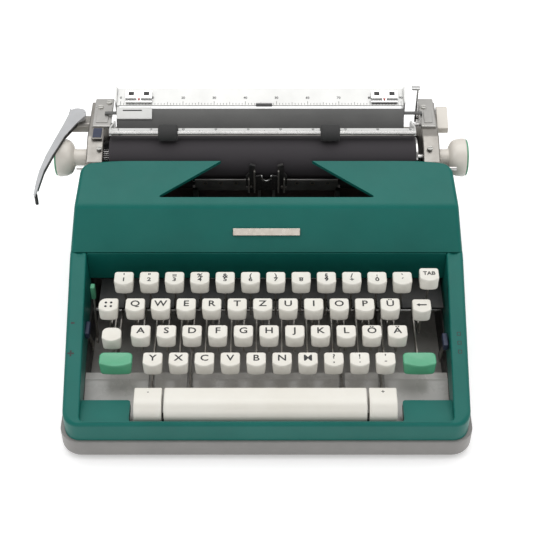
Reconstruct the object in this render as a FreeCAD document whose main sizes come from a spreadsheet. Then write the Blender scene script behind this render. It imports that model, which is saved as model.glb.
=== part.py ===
import FreeCAD, Part
import math
import os
import re
import Sketcher

# Portable typewriter with a sliding carriage, a four-row keyboard and a lifting ribbon cover.
# Working frame: x = 0 on the body's middle, y = 0 at the front lip, z = 0 on the table, millimetres.
# Every finished sub-part is then moved by (shift_x, shift_y, 0), so that the origin of the whole
# object lies under the middle of its outer box.

DIMENSIONS = [
    # alias, value, meaning
    ("shift_x", 7.5, "move that centres the object's box in x"),
    ("shift_y", -148.9, "move that centres the object's box in y"),
    ("running", 0.06, "radial running clearance of every shaft"),
    ("gap", 0.4, "space between pieces that pass each other"),
    # housing
    ("foot_height", 4, "rubber feet"),
    ("foot_radius", 9, "rubber feet"),
    ("base_ledge", 2.5, "how far the base stands out beside the shell"),
    ("base_tail", 1.8, "how far the base stands out behind the shell"),
    ("base_front", -1.8, "front of the base"),
    ("base_corner", 16, "upright corners of the base"),
    ("seam_z", 20, "seam between base and shell"),
    ("base_wall", 3, "base wall and floor"),
    ("body_half", 149.5, "half width of the shell"),
    ("body_back", 298, "back of the shell"),
    ("shell_wall", 2.5, "shell wall"),
    ("lip_z", 38.5, "top of the front lip"),
    ("rail_back_y", 130, "where the side rails meet the hood"),
    ("rail_back_z", 84, "height of the rails there"),
    ("slope_y", 235, "where the back of the shell starts to fall"),
    ("tail_z", 45, "height of the back wall"),
    ("shell_corner", 12, "upright front corners of the shell"),
    ("rail_width", 9, "side rails beside the keyboard opening"),
    ("opening_corner", 6, "corners of the keyboard opening"),
    ("skirt_wall", 1.5, "thin wall that lines the opening"),
    ("skirt_z", 30, "lower edge of that wall"),
    ("corner_half", 100, "inner end of the front corner platforms"),
    ("corner_y", 25, "back edge of the corner platforms"),
    ("lip_y", 3.6, "front edge of the opening"),
    # ribbon cover
    ("cover_step", 1.5, "how far the cover's sides stand in from the shell"),
    ("cover_front_gap", 0.4, "gap in front of the cover's lower edge"),
    ("cover_wall", 2.5, "cover wall"),
    ("cover_low_z", 84.5, "lower edge of the cover"),
    ("crease_y", 150, "crease between front panel and top"),
    ("crease_z", 115, "crease height"),
    ("cover_back_y", 190.2, "back edge of the cover"),
    ("cover_back_z", 125.2, "back edge height"),
    ("window_y", 157.4, "front edge of the window in the top"),
    ("window_front_half", 84, "half width of the window in front"),
    ("window_back_half", 35.6, "half width of the window at the back"),
    ("hinge_y", 188.2, "cover hinge"),
    ("hinge_z", 119.3, "cover hinge"),
    ("hinge_pin_radius", 1.5, "cover hinge pin"),
    ("badge_length", 52, "plain trim bar"),
    ("badge_low_share", 0.36, "lower edge of the trim bar, as a share of the front panel"),
    ("badge_high_share", 0.52, "upper edge of the trim bar, as a share of the front panel"),
    ("badge_proud", 1.4, "how far the trim bar stands out"),
    # frame
    ("plate_gap", 4, "from the opening's side to the side plates"),
    ("release_lever_step", 4.1, "from the left side plate to the side release lever"),
    ("touch_lever_step", 0.5, "from the left side plate to the touch lever"),
    ("selector_step", 3.1, "from the right side plate to the ribbon selector"),
    ("plate_tail", 13, "from the back of the side plates to the back of the shell"),
    ("plate_wall", 2, "side plate thickness"),
    ("plate_low_z", 8, "lower edge of the side plates"),
    ("plate_front_z", 40, "side plate height beside the keys"),
    ("plate_top_z", 80, "side plate height behind the keys"),
    ("deck_z", 50, "side decks under the ribbon spools"),
    ("deck_wall", 1.8, "side decks"),
    ("deck_inner_x", 44, "inner edge of the side decks"),
    ("stop_bar_y", 50, "front of the stop bar"),
    ("stop_bar_z", 12, "underside of the stop bar"),
    ("stop_bar_depth", 7, "stop bar"),
    ("stop_bar_height", 17, "stop bar"),
    ("stop_notch_z", 18, "bottom of the notches in the stop bar"),
    ("stop_notch_width", 4, "notches in the stop bar"),
    ("guard_y", 99, "front of the plate behind the number row"),
    ("guard_z", 54.2, "underside of the plate behind the number row"),
    ("guard_depth", 30.6, "plate behind the number row"),
    ("guard_wall", 1.8, "plate behind the number row"),
    ("guard_notch_width", 3.4, "notches for the stems"),
    ("lever_shaft_y", 225, "shaft of the key levers"),
    ("lever_shaft_z", 46, "shaft of the key levers"),
    ("lever_shaft_radius", 2.5, "shaft of the key levers"),
    ("low_shaft_y", 125, "shaft of the space bar"),
    ("low_shaft_z", 26, "shaft of the space bar"),
    ("low_shaft_radius", 2, "shaft of the space bar"),
    ("rail_y", 238, "front of the carriage rails"),
    ("rail_depth", 24, "depth of the carriage rails"),
    ("rail_top_z", 92.6, "top of the carriage rails"),
    # keyboard
    ("key_pitch", 19.05, "spacing of the keys along a row"),
    ("row_step_y", 18.93, "spacing of the rows"),
    ("row_step_z", 9.07, "rise from row to row"),
    ("bottom_row_y", 45.9, "middle of the bottom row"),
    ("bottom_row_z", 57.6, "top of the bottom row"),
    ("number_row_x", -107.3, "first key of the number row"),
    ("upper_row_x", -98.1, "first key of the upper row"),
    ("home_row_x", -93.3, "first key of the home row"),
    ("bottom_row_x", -83.8, "first key of the bottom row"),
    ("cap_width", 14.6, "key cap"),
    ("cap_depth", 13.6, "key cap"),
    ("cap_height", 10.8, "key cap"),
    ("cap_corner", 2.6, "upright corners of a cap"),
    ("cap_edge", 1, "top edge of a cap"),
    ("lever_wall", 1.2, "key lever thickness"),
    ("lever_height", 6, "key lever height"),
    ("stem_depth", 4, "upright stem of a key lever"),
    ("margin_release_x", -118, "margin release key"),
    ("backspace_x", 116, "backspace key"),
    ("tab_x", 122, "tabulator key"),
    ("shift_lock_x", -115, "shift lock key"),
    ("shift_cap_width", 24.7, "green shift keys"),
    ("shift_left_x", -111, "left shift key"),
    ("shift_right_x", 112.6, "right shift key"),
    ("space_low_x", -74.5, "left end of the space bar"),
    ("space_high_x", 73, "right end of the space bar"),
    ("space_y", 5.6, "front of the space bar"),
    ("space_depth", 22, "space bar"),
    ("space_low_z", 30.5, "underside of the space bar"),
    ("space_front_z", 35, "front edge of the space bar"),
    ("space_back_z", 47, "back edge of the space bar"),
    ("space_gap", 1.6, "gap beside the space bar"),
    ("tab_width", 20.3, "keys beside the space bar"),
    # type basket
    ("print_gap", 0.9, "from the printing point to the platen"),
    ("print_z", 113, "printing point"),
    ("pivot_reach", 6.8, "from the type bar pivot to the printing point, along y"),
    ("pivot_z", 68, "type bar pivot"),
    ("type_bar_wall", 0.8, "type bar thickness"),
    ("type_bar_rise", 10, "slope of a resting type bar, degrees"),
    ("type_fan_step", 2.5, "angle between type bars, degrees"),
    ("basket_tilt", 35, "tilt of the type basket, degrees"),
    ("segment_inner", 7.6, "segment, from the pivot outwards"),
    ("segment_depth", 8, "segment"),
    ("segment_height", 7, "segment"),
    ("bell_x", 98, "bell"),
    ("bell_y", 258, "bell"),
    ("bell_z", 34, "lower edge of the bell's dome"),
    ("bell_radius", 14, "bell"),
    ("bell_height", 8, "bell"),
    ("bell_wall", 1.4, "bell"),
    ("drum_x", -100, "mainspring drum"),
    ("drum_y", 258, "mainspring drum"),
    ("drum_z", 40, "underside of the mainspring drum"),
    ("drum_radius", 16, "mainspring drum"),
    ("drum_height", 10, "mainspring drum"),
    # ribbon
    ("spool_x", 98, "ribbon spool"),
    ("spool_y", 164, "ribbon spool"),
    ("spool_radius", 19, "ribbon spool"),
    ("spool_low_z", 86, "ribbon spool"),
    ("spool_height", 13.5, "ribbon spool"),
    ("spool_axle_radius", 2, "ribbon spool axle"),
    ("ribbon_low_z", 87.2, "ribbon"),
    ("ribbon_height", 11, "ribbon"),
    ("ribbon_wall", 0.3, "ribbon"),
    # carriage
    ("platen_y", 209, "platen axis"),
    ("platen_z", 113, "platen axis"),
    ("platen_radius", 17.3, "platen"),
    ("platen_core_radius", 12, "platen core"),
    ("platen_low_x", -123.3, "left end of the platen"),
    ("platen_high_x", 117.2, "right end of the platen"),
    ("platen_shaft_radius", 3, "platen shaft"),
    ("casting_left_x", -142, "outer face of the left casting"),
    ("casting_right_x", 123.4, "inner face of the right casting"),
    ("casting_width", 13.3, "end castings"),
    ("casting_front_y", 195, "front of the castings"),
    ("casting_back_y", 262, "back of the castings"),
    ("casting_low_z", 86.5, "underside in front of the rails"),
    ("casting_top_z", 127.5, "top of the castings"),
    ("casting_front_z", 118.5, "top of the castings in front"),
    ("knob_radius", 15.2, "platen knobs"),
    ("knob_width", 14.7, "platen knobs"),
    ("knob_hub_radius", 6.6, "knob hub"),
    ("knob_left_x", -167, "outer face of the left knob"),
    ("knob_right_x", 159, "outer face of the right knob"),
    ("feed_y", 203, "feed rollers"),
    ("feed_radius", 5, "feed rollers"),
    ("bail_y", 209.9, "paper bail rod"),
    ("bail_gap", 0.31673, "from the bail rollers to the platen"),
    ("bail_rod_radius", 1.4, "paper bail rod"),
    ("bail_roller_radius", 6.6, "bail rollers"),
    ("bail_roller_width", 14.7, "bail rollers"),
    ("bail_roller_left_x", -77, "left bail roller"),
    ("bail_roller_right_x", 49.8, "right bail roller"),
    ("bail_pivot_y", 238, "pivot of the bail arms"),
    ("bail_pivot_z", 123, "pivot of the bail arms"),
    ("table_low_x", -120, "left edge of the paper table"),
    ("table_high_x", 110, "right edge of the paper table"),
    ("table_low_y", 230.5, "lower edge of the paper table"),
    ("table_low_z", 122.5, "lower edge of the paper table"),
    ("table_crease_y", 235, "crease of the paper table"),
    ("table_crease_z", 129.2, "crease of the paper table"),
    ("table_top_y", 243.5, "upper edge of the paper table"),
    ("table_top_z", 135.2, "upper edge of the paper table"),
    ("table_wall", 1.5, "paper table"),
    ("scale_low_y", 245, "front edge of the margin scale"),
    ("scale_low_z", 137, "front edge of the margin scale"),
    ("scale_high_y", 261, "back edge of the margin scale"),
    ("scale_high_z", 142, "back edge of the margin scale"),
    ("stop_width", 21, "margin stops"),
    ("stop_left_x", -112.8, "left margin stop"),
    ("stop_right_x", 84, "right margin stop"),
    ("guide_width", 28.4, "paper guide"),
    ("lever_pivot_x", -151.5, "return lever pivot"),
    ("lever_pivot_y", 240, "return lever pivot"),
    ("lever_pin_radius", 2.5, "return lever pivot pin"),
    ("blade_z", 131.2, "underside of the return lever blade"),
    ("blade_wall", 1.6, "return lever blade"),
    ("tip_x", -174, "outer side of the return lever's finger tab"),
    ("tip_y", 142, "front of the return lever's finger tab"),
    ("release_x", 137.6, "carriage release lever"),
    ("release_width", 9, "carriage release lever"),
]

DERIVED = {
    # sizes that follow from others
    "base_half": "body_half + base_ledge",
    "base_back": "body_back + base_tail",
    "opening_half": "body_half - rail_width",
    "cover_half": "body_half - cover_step",
    "cover_front_y": "rail_back_y + cover_front_gap",
    "plate_inner": "opening_half - plate_gap",
    "plate_back_y": "body_back - plate_tail",
    "chassis_width": "2*(plate_inner + plate_wall)",
    "print_y": "platen_y - platen_radius - print_gap",
    "pivot_y": "print_y - pivot_reach",
    "base_floor_z": "foot_height + base_wall",
    "bail_reach": "platen_radius + bail_roller_radius + bail_gap",
    "bail_z": "platen_z + sqrt((bail_reach)^2 - (bail_y - platen_y)^2)",
}

doc = FreeCAD.newDocument("typewriter")
dim = doc.addObject("Spreadsheet::Sheet", "dim")
ALIASES = set()
for row, (alias, value, meaning) in enumerate(DIMENSIONS, start=1):
    dim.set("A%d" % row, meaning)
    dim.set("B%d" % row, str(value))
    dim.setAlias("B%d" % row, alias)
    ALIASES.add(alias)
doc.recompute()

finished = []
LOW_ARMS = ("-86.3", "-57.6", "56.7", "86.4")
ORIENTATION = {
    "x": FreeCAD.Rotation(FreeCAD.Vector(0, 1, 0), 90),
    "y": FreeCAD.Rotation(FreeCAD.Vector(1, 0, 0), -90),
    "z": FreeCAD.Rotation(),
}


# ---------------------------------------------------------------- building tools

def bound(text):
    """Return an expression in which each named size is read from the sheet."""
    def with_sheet(match):
        word = match.group(0)
        if word in DERIVED:
            return "(" + bound(DERIVED[word]) + ")"
        return "dim." + word if word in ALIASES else word
    return re.sub(r"[a-z][a-z_]*", with_sheet, str(text))


def size(text):
    """Return an expression's present value in millimetres."""
    return float(dim.evalExpression(bound(text)))


def place(piece, x, y, z):
    """Bind a piece's position."""
    for axis, text in zip("xyz", (x, y, z)):
        piece.setExpression("Placement.Base." + axis, bound(text))
    return piece


def block(name, x, y, z, length, width, height):
    """Box whose lowest corner is at x, y, z."""
    piece = doc.addObject("Part::Box", name)
    for prop, text in (("Length", length), ("Width", width), ("Height", height)):
        piece.setExpression(prop, bound(text))
    return place(piece, x, y, z)


def rod(name, axis, radius, length, x, y, z):
    """Cylinder that starts at x, y, z and runs along an axis."""
    piece = doc.addObject("Part::Cylinder", name)
    piece.Placement = FreeCAD.Placement(FreeCAD.Vector(), ORIENTATION[axis])
    piece.setExpression("Radius", bound(radius))
    piece.setExpression("Height", bound(length))
    return place(piece, x, y, z)


def join(name, pieces):
    """Fuse pieces into one solid."""
    piece = doc.addObject("Part::MultiFuse", name)
    piece.Shapes = pieces
    return piece


def group(name, pieces):
    """Keep pieces as separate solids in one sub-part."""
    piece = doc.addObject("Part::Compound", name)
    piece.Links = pieces
    return piece


def cut(name, base, tools):
    """Take tools away from a base."""
    piece = doc.addObject("Part::Cut", name)
    piece.Base = base
    piece.Tool = tools[0] if len(tools) == 1 else group(name + "_tools", tools)
    return piece


def finish(label, piece):
    """Name a sub-part and move it into the object's frame."""
    if piece.TypeId in ("Part::Box", "Part::Cylinder") or piece.ExpressionEngine:
        piece = group(label + "_piece", [piece])
    piece.Label = label
    place(piece, "shift_x", "shift_y", "0")
    finished.append(piece)
    return piece


def origin_part(body, role):
    """Return one of a body's own origin planes or axes."""
    return [item for item in body.Origin.OriginFeatures if item.Role == role][0]


def outline(body, name, plane, points, start="0"):
    """Sketch a closed outline with every corner bound, start millimetres up the plane's normal."""
    sketch = body.newObject("Sketcher::SketchObject", name)
    sketch.AttachmentSupport = [(origin_part(body, plane), "")]
    sketch.MapMode = "FlatFace"
    sketch.setExpression("AttachmentOffset.Base.z", bound(start))
    corners = [FreeCAD.Vector(size(u), size(v), 0) for u, v in points]
    count = len(corners)
    for i in range(count):
        sketch.addGeometry(Part.LineSegment(corners[i], corners[(i + 1) % count]))
    for i in range(count):
        sketch.addConstraint(Sketcher.Constraint("Coincident", i, 2, (i + 1) % count, 1))
    for i, (u, v) in enumerate(points):
        for kind, text in (("DistanceX", u), ("DistanceY", v)):
            number = sketch.addConstraint(Sketcher.Constraint(kind, -1, 1, i, 1, size(text)))
            sketch.setExpression("Constraints[%d]" % number, bound(text))
    return sketch


def prism(name, plane, points, start, length):
    """Body with one outline padded along its plane's normal."""
    body = doc.addObject("PartDesign::Body", name)
    pad = body.newObject("PartDesign::Pad", name + "_pad")
    sketch = outline(body, name + "_outline", plane, points, start)
    pad.Profile = sketch
    pad.setExpression("Length", bound(length))
    body.Tip = pad
    return body


def side_prism(name, points, x, length):
    """Outline in y and z that runs along x."""
    return prism(name, "YZ_Plane", points, x, length)


def plan_prism(name, points, z, height):
    """Outline in x and y that runs up z."""
    return prism(name, "XY_Plane", points, z, height)


def turned(name, points):
    """Outline in x and radius, revolved about the x axis."""
    body = doc.addObject("PartDesign::Body", name)
    sketch = outline(body, name + "_outline", "XY_Plane", points)
    spin = body.newObject("PartDesign::Revolution", name + "_turn")
    spin.Profile = sketch
    spin.ReferenceAxis = (sketch, ["H_Axis"])
    spin.Angle = 360
    body.Tip = spin
    return body


def round_edges(body, radius, chosen):
    """Fillet the edges of a body's last feature that pass a test on their bounding box."""
    doc.recompute()
    last = body.Tip
    names = []
    for number, edge in enumerate(last.Shape.Edges, start=1):
        if chosen(edge.BoundBox):
            names.append("Edge%d" % number)
    fillet = body.newObject("PartDesign::Fillet", body.Name + "_round%d" % len(body.Group))
    fillet.Base = (last, names)
    fillet.setExpression("Radius", bound(radius))
    body.Tip = fillet
    return body


def upright(box):
    """Tell whether an edge stands along z."""
    return box.XLength < 0.01 and box.YLength < 0.01 and box.ZLength > 1


# ---------------------------------------------------------------- housing

def base_pan():
    """Grey tray with rounded corners and a thin inner floor."""
    corners = [("-base_half", "base_front"), ("base_half", "base_front"),
               ("base_half", "base_back"), ("-base_half", "base_back")]
    tray = plan_prism("base_solid", corners, "foot_height", "seam_z - foot_height - 0.3")
    round_edges(tray, "base_corner", upright)
    inner = [("-base_half + base_wall", "base_front + base_wall"),
             ("base_half - base_wall", "base_front + base_wall"),
             ("base_half - base_wall", "base_back - base_wall"),
             ("-base_half + base_wall", "base_back - base_wall")]
    hollow = plan_prism("base_hollow", inner, "base_floor_z", "seam_z")
    round_edges(hollow, "base_corner - base_wall", upright)
    return finish("base_pan", cut("base_cut", tray, [hollow]))


def rubber_feet():
    """Four round feet under the corners."""
    feet = []
    for x in ("-base_half + 26", "base_half - 26"):
        for y in ("base_front + 30", "base_back - 30"):
            feet.append(rod("foot%d" % len(feet), "z", "foot_radius", "foot_height", x, y, "0"))
    return finish("rubber_feet", group("feet", feet))


def case_screws():
    """Screw heads under the base, beside the feet."""
    screws = []
    for x in ("-base_half + 48", "base_half - 48"):
        for y in ("base_front + 30", "base_back - 30"):
            head = rod("case_head%d" % len(screws), "z", "4", "1.6", x, y, "foot_height - 1.6")
            screws.append(head)
    return finish("case_screws", group("case_heads", screws))


def rail_height(y):
    """Expression of the shell's height at y along the side rails."""
    return "lip_z + (rail_back_z - lip_z)*((%s) - 3)/(rail_back_y - 3)" % y


def body_shell():
    """Painted shell: front lip, rising side rails, walls and the lining of the key opening."""
    outer = side_prism("shell_outer", [
        ("0.8", "seam_z"), ("0", "lip_z - 4"), ("3", "lip_z"), ("rail_back_y", "rail_back_z"),
        ("slope_y", "rail_back_z"), ("body_back", "tail_z"), ("body_back", "seam_z")],
        "-body_half", "2*body_half")
    round_edges(outer, "shell_corner", lambda box: box.XLength < 0.01 and box.ZLength > 3 and box.YMax < 3.1)
    inner = side_prism("shell_inner", [
        ("0.8 + shell_wall", "seam_z - 1"), ("shell_wall", "lip_z - 4"),
        ("shell_wall + 1", "lip_z - shell_wall"),
        ("rail_back_y", "rail_back_z - shell_wall"), ("slope_y - 1", "rail_back_z - shell_wall"),
        ("body_back - shell_wall", "tail_z - 1.5"), ("body_back - shell_wall", "seam_z - 1")],
        "-body_half + shell_wall", "2*(body_half - shell_wall)")
    skin = cut("shell_skin", outer, [inner])
    opening = plan_prism("shell_opening", [
        ("-opening_half", "corner_y"), ("-corner_half", "corner_y"), ("-corner_half", "lip_y"),
        ("corner_half", "lip_y"), ("corner_half", "corner_y"), ("opening_half", "corner_y"),
        ("opening_half", "rail_back_y"), ("-opening_half", "rail_back_y")], "seam_z + 3", "90")
    round_edges(opening, "opening_corner", upright)
    back_opening = block("shell_back_opening", "-body_half + shell_wall", "rail_back_y + shell_wall",
                         "seam_z + 3", "2*(body_half - shell_wall)",
                         "casting_back_y - rail_back_y - shell_wall", "90")
    open_skin = cut("shell_open", skin, [opening, back_opening])
    lining = []
    for sign, x in (("l", "-opening_half - skirt_wall"), ("r", "opening_half")):
        lining.append(side_prism("lining_" + sign, [
            ("lip_y + 1", "skirt_z"), ("rail_back_y", "skirt_z"),
            ("rail_back_y", rail_height("rail_back_y") + " - 1"),
            ("lip_y + 1", rail_height("lip_y + 1") + " - 1")], x, "skirt_wall"))
    wall = block("lining_back", "-body_half + 1", "rail_back_y", "56.5", "2*body_half - 2",
                 "shell_wall", "rail_back_z - 56.5")
    platforms = []
    for side, x in (("l", "-opening_half - 1"), ("r", "corner_half")):
        platforms.append(block("platform_" + side, x, "lip_y - 2", "lip_z - 5",
                               "opening_half + 1 - corner_half", "corner_y - lip_y + 2", "2"))
    return finish("body_shell", join("shell_join", [open_skin, wall] + lining + platforms))


def chassis():
    """Steel frame: side plates, rear plate, side decks and the uprights of the cover hinge."""
    pieces = []
    for side, x in (("l", "-plate_inner - plate_wall"), ("r", "plate_inner")):
        plate = side_prism("plate_" + side, [
            ("30", "plate_low_z"), ("plate_back_y", "plate_low_z"), ("plate_back_y", "38"),
            ("rail_y + rail_depth - 0.5", "60"), ("rail_y + rail_depth - 0.5", "rail_top_z - 8.6"),
            ("134", "plate_top_z"), ("134", "plate_front_z"),
            ("30", "plate_front_z - 10")], x, "plate_wall")
        ear = join("ear_" + side, [
            block("ear_bar_" + side, x, "hinge_y - 2.4", "plate_top_z - 4", "plate_wall", "4.6",
                  "hinge_z - plate_top_z + 4"),
            rod("ear_eye_" + side, "x", "2.3", "plate_wall", x, "hinge_y", "hinge_z")])
        pieces += [plate, ear]
    pieces.append(block("rear_plate", "-plate_inner", "plate_back_y - plate_wall", "plate_low_z",
                        "2*plate_inner", "plate_wall", "28"))
    for side, x in (("l", "-plate_inner"), ("r", "deck_inner_x")):
        deck = block("deck_" + side, x, "136", "deck_z", "plate_inner - deck_inner_x", "64",
                     "deck_wall")
        post_x = "-spool_x" if side == "l" else "spool_x"
        post = rod("deck_post_" + side, "z", "5", "spool_low_z - 3 - deck_z - deck_wall",
                   post_x, "spool_y", "deck_z + deck_wall")
        pieces += [deck, post]
    frame = join("chassis_join", pieces)
    holes = [
        rod("chassis_lever_hole", "x", "lever_shaft_radius", "chassis_width + 2",
            "-plate_inner - plate_wall - 1", "lever_shaft_y", "lever_shaft_z"),
        rod("chassis_low_hole", "x", "low_shaft_radius", "chassis_width + 2",
            "-plate_inner - plate_wall - 1", "low_shaft_y", "low_shaft_z"),
        rod("chassis_pin_hole", "x", "hinge_pin_radius", "chassis_width + 2",
            "-plate_inner - plate_wall - 1", "hinge_y", "hinge_z")]
    return finish("chassis", cut("chassis_cut", frame, holes))


def cover_hinge_pins():
    """Two pins that hold the cover on the chassis."""
    left = rod("pin_left", "x", "hinge_pin_radius", "cover_half - plate_inner",
               "-cover_half", "hinge_y", "hinge_z")
    right = rod("pin_right", "x", "hinge_pin_radius", "cover_half - plate_inner",
                "plate_inner", "hinge_y", "hinge_z")
    return finish("cover_hinge_pins", group("pins", [left, right]))


def ribbon_cover():
    """Hood over the type basket: sloping front panel, flat top with a window, two side walls."""
    outer = side_prism("cover_outer", [
        ("cover_front_y", "cover_low_z"), ("crease_y", "crease_z"),
        ("cover_back_y", "cover_back_z"), ("cover_back_y", "cover_low_z")],
        "-cover_half", "2*cover_half")
    round_edges(outer, "5", lambda box: box.XLength < 0.01 and box.YLength > 10 and box.ZLength > 5)
    inner = side_prism("cover_inner", [
        ("cover_front_y + cover_wall*1.2", "cover_low_z - 1"),
        ("crease_y + 1.4", "crease_z - cover_wall"),
        ("cover_back_y + 1", "cover_back_z + 0.25 - cover_wall"), ("cover_back_y + 1", "cover_low_z - 1")],
        "-cover_half + cover_wall", "2*(cover_half - cover_wall)")
    window = plan_prism("cover_window", [
        ("-window_front_half", "window_y"), ("window_front_half", "window_y"),
        ("window_back_half", "cover_back_y + 1"), ("-window_back_half", "cover_back_y + 1")],
        "crease_z - 6", "30")
    bore = rod("cover_bore", "x", "hinge_pin_radius + running", "2*cover_half + 2",
               "-cover_half - 1", "hinge_y", "hinge_z")
    return finish("ribbon_cover", cut("cover_cut", outer, [inner, window, bore]))


def name_badge():
    """Plain bright trim bar on the middle of the cover's front panel."""
    run = "(crease_y - cover_front_y)"
    rise = "(crease_z - cover_low_z)"
    corners = [("badge_low_share", "0"), ("badge_high_share", "0"),
               ("badge_high_share", "badge_proud"), ("badge_low_share", "badge_proud")]
    slope_length = "sqrt(%s^2 + %s^2)" % (run, rise)
    points = []
    for share, proud in corners:
        y = "cover_front_y + %s*%s - %s*%s/%s" % (share, run, proud, rise, slope_length)
        z = "cover_low_z + %s*%s + %s*%s/%s" % (share, rise, proud, run, slope_length)
        points.append((y, z))
    return finish("name_badge", side_prism("badge_bar", points, "-badge_length/2", "badge_length"))


# ---------------------------------------------------------------- frame shafts and rails

def lever_shafts():
    """The long shaft of the key levers and the lower shaft of the space bar."""
    span = "chassis_width"
    start = "-plate_inner - plate_wall"
    back = rod("lever_shaft", "x", "lever_shaft_radius", span, start, "lever_shaft_y", "lever_shaft_z")
    low = rod("low_shaft", "x", "low_shaft_radius", span, start, "low_shaft_y", "low_shaft_z")
    return finish("lever_shafts", group("shafts", [back, low]))


def carriage_rails():
    """Channel with two raised tracks that the carriage rides on."""
    start = "-plate_inner - plate_wall"
    span = "chassis_width"
    floor = block("rail_floor", start, "rail_y", "rail_top_z - 8.6", span, "rail_depth", "3")
    front = block("rail_front", start, "rail_y", "rail_top_z - 6", span, "4", "6")
    back = block("rail_back", start, "rail_y + rail_depth - 4", "rail_top_z - 6", span, "4", "6")
    return finish("carriage_rails", join("rail_join", [floor, front, back]))


def stop_bar():
    """Grey bar under the key levers that stops their fall, notched for the arms of the low keys."""
    bar = block("stop_beam", "-plate_inner", "stop_bar_y", "stop_bar_z", "2*plate_inner",
                "stop_bar_depth", "stop_bar_height")
    notches = [block("stop_notch%d" % i, x + " - stop_notch_width/2", "stop_bar_y - 1",
                     "stop_notch_z", "stop_notch_width", "stop_bar_depth + 2", "stop_bar_height")
               for i, x in enumerate(LOW_ARMS)]
    return finish("stop_bar", cut("stop_cut", bar, notches))


def key_guard_plate():
    """Dark plate behind the number row, notched for the stems of that row."""
    plate = block("guard_plate", "-plate_inner + 8", "guard_y", "guard_z", "2*plate_inner - 9",
                  "guard_depth", "guard_wall")
    stems = ["number_row_x + %d*key_pitch" % i for i in range(12)] + ["backspace_x", "tab_x"]
    notches = [block("guard_notch%d" % i, x + " - guard_notch_width/2", "guard_y - 1", "guard_z - 1",
                     "guard_notch_width", "10", "guard_wall + 2") for i, x in enumerate(stems)]
    return finish("key_guard_plate", cut("guard_cut", plate, notches))


# ---------------------------------------------------------------- keyboard

def row_y(steps):
    """Middle of the row that lies so many steps behind the bottom row."""
    return "bottom_row_y + %d*row_step_y" % steps


def row_z(steps):
    """Cap top of the row that lies so many steps above the bottom row."""
    return "bottom_row_z + %d*row_step_z" % steps


def key_bank(name, x, y, top, count, width="cap_width", depth="cap_depth", height="cap_height"):
    """Keys at the key pitch, each a cap on the stem of a lever that turns on the lever shaft."""
    low = "(lever_shaft_z - lever_height/2)"
    high = "(lever_shaft_z + lever_height/2)"
    body = doc.addObject("PartDesign::Body", name)
    profile = outline(body, name + "_profile", "YZ_Plane", [
        (y + " - stem_depth/2", low), ("lever_shaft_y", low), ("lever_shaft_y", high),
        (y + " + stem_depth/2", high), (y + " + stem_depth/2", top + " - " + height + "/2"),
        (y + " - stem_depth/2", top + " - " + height + "/2")], x + " - lever_wall/2")
    lever = body.newObject("PartDesign::Pad", name + "_lever")
    lever.Profile = profile
    lever.setExpression("Length", bound("lever_wall"))
    hub = body.newObject("PartDesign::AdditiveCylinder", name + "_hub")
    hub.Placement = FreeCAD.Placement(FreeCAD.Vector(), ORIENTATION["x"])
    hub.setExpression("Radius", bound("lever_shaft_radius + 2.4"))
    hub.setExpression("Height", bound("lever_wall"))
    place(hub, x + " - lever_wall/2", "lever_shaft_y", "lever_shaft_z")
    cap = body.newObject("PartDesign::AdditiveBox", name + "_cap")
    cap.setExpression("Length", bound(width))
    cap.setExpression("Width", bound(depth))
    cap.setExpression("Height", bound(height))
    place(cap, x + " - (" + width + ")/2", y + " - (" + depth + ")/2", top + " - " + height)
    body.Tip = cap
    cap_low = size(top + " - " + height)
    cap_top = size(top)
    round_edges(body, "cap_corner",
                lambda box: upright(box) and box.ZMin > cap_low - 0.1 and box.ZMax > cap_top - 0.1)
    round_edges(body, "cap_edge", lambda box: box.ZMin > cap_top - 0.01)
    bore = body.newObject("PartDesign::SubtractiveCylinder", name + "_bore")
    bore.Placement = FreeCAD.Placement(FreeCAD.Vector(), ORIENTATION["x"])
    bore.setExpression("Radius", bound("lever_shaft_radius + running"))
    bore.setExpression("Height", bound("lever_wall + 2"))
    place(bore, x + " - lever_wall/2 - 1", "lever_shaft_y", "lever_shaft_z")
    body.Tip = bore
    if count > 1:
        repeat = body.newObject("PartDesign::LinearPattern", name + "_repeat")
        repeat.TransformMode = "Whole shape"
        repeat.Direction = (origin_part(body, "X_Axis"), [""])
        repeat.setExpression("Length", bound("%d*key_pitch" % (count - 1)))
        repeat.Occurrences = count
        body.AllowCompound = True
        body.Tip = repeat
    return body


def key_rows():
    """Four rows of character keys; the key in the middle of the home row is a piece of its own."""
    rows = (("keys_number_row", "number_row_x", 3, 12), ("keys_upper_row", "upper_row_x", 2, 11),
            ("keys_bottom_row", "bottom_row_x", 0, 10))
    for label, x, steps, count in rows:
        finish(label, group(label + "_set", [
            key_bank(label + "_bank", x, row_y(steps), row_z(steps), count)]))
    left = key_bank("home_left", "home_row_x", row_y(1), row_z(1), 5)
    right = key_bank("home_right", "home_row_x + 6*key_pitch", row_y(1), row_z(1), 5)
    finish("keys_home_row", group("keys_home_row_set", [left, right]))
    middle = key_bank("home_middle", "home_row_x + 5*key_pitch", row_y(1), row_z(1), 1)
    finish("centre_key", group("centre_key_set", [middle]))


def side_keys():
    """Keys that set margins, tabulator and case, each on a lever of its own."""
    keys = (
        ("margin_release_key", "margin_release_x", row_y(2), row_z(2), "cap_width"),
        ("backspace_key", "backspace_x", row_y(2), row_z(2) + " - 1", "cap_width - 0.6"),
        ("tab_key", "tab_x", row_y(3), row_z(3) + " + 4", "cap_width"),
        ("shift_lock_key", "shift_lock_x", row_y(1), row_z(1) + " - 2.6", "cap_width"),
        ("shift_key_left", "shift_left_x", row_y(0), row_z(0), "shift_cap_width"),
        ("shift_key_right", "shift_right_x", row_y(0), row_z(0), "shift_cap_width"))
    for label, x, y, top, width in keys:
        bank = key_bank(label + "_bank", x, y, top, 1, width=width)
        finish(label, group(label + "_set", [bank]))


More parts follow.
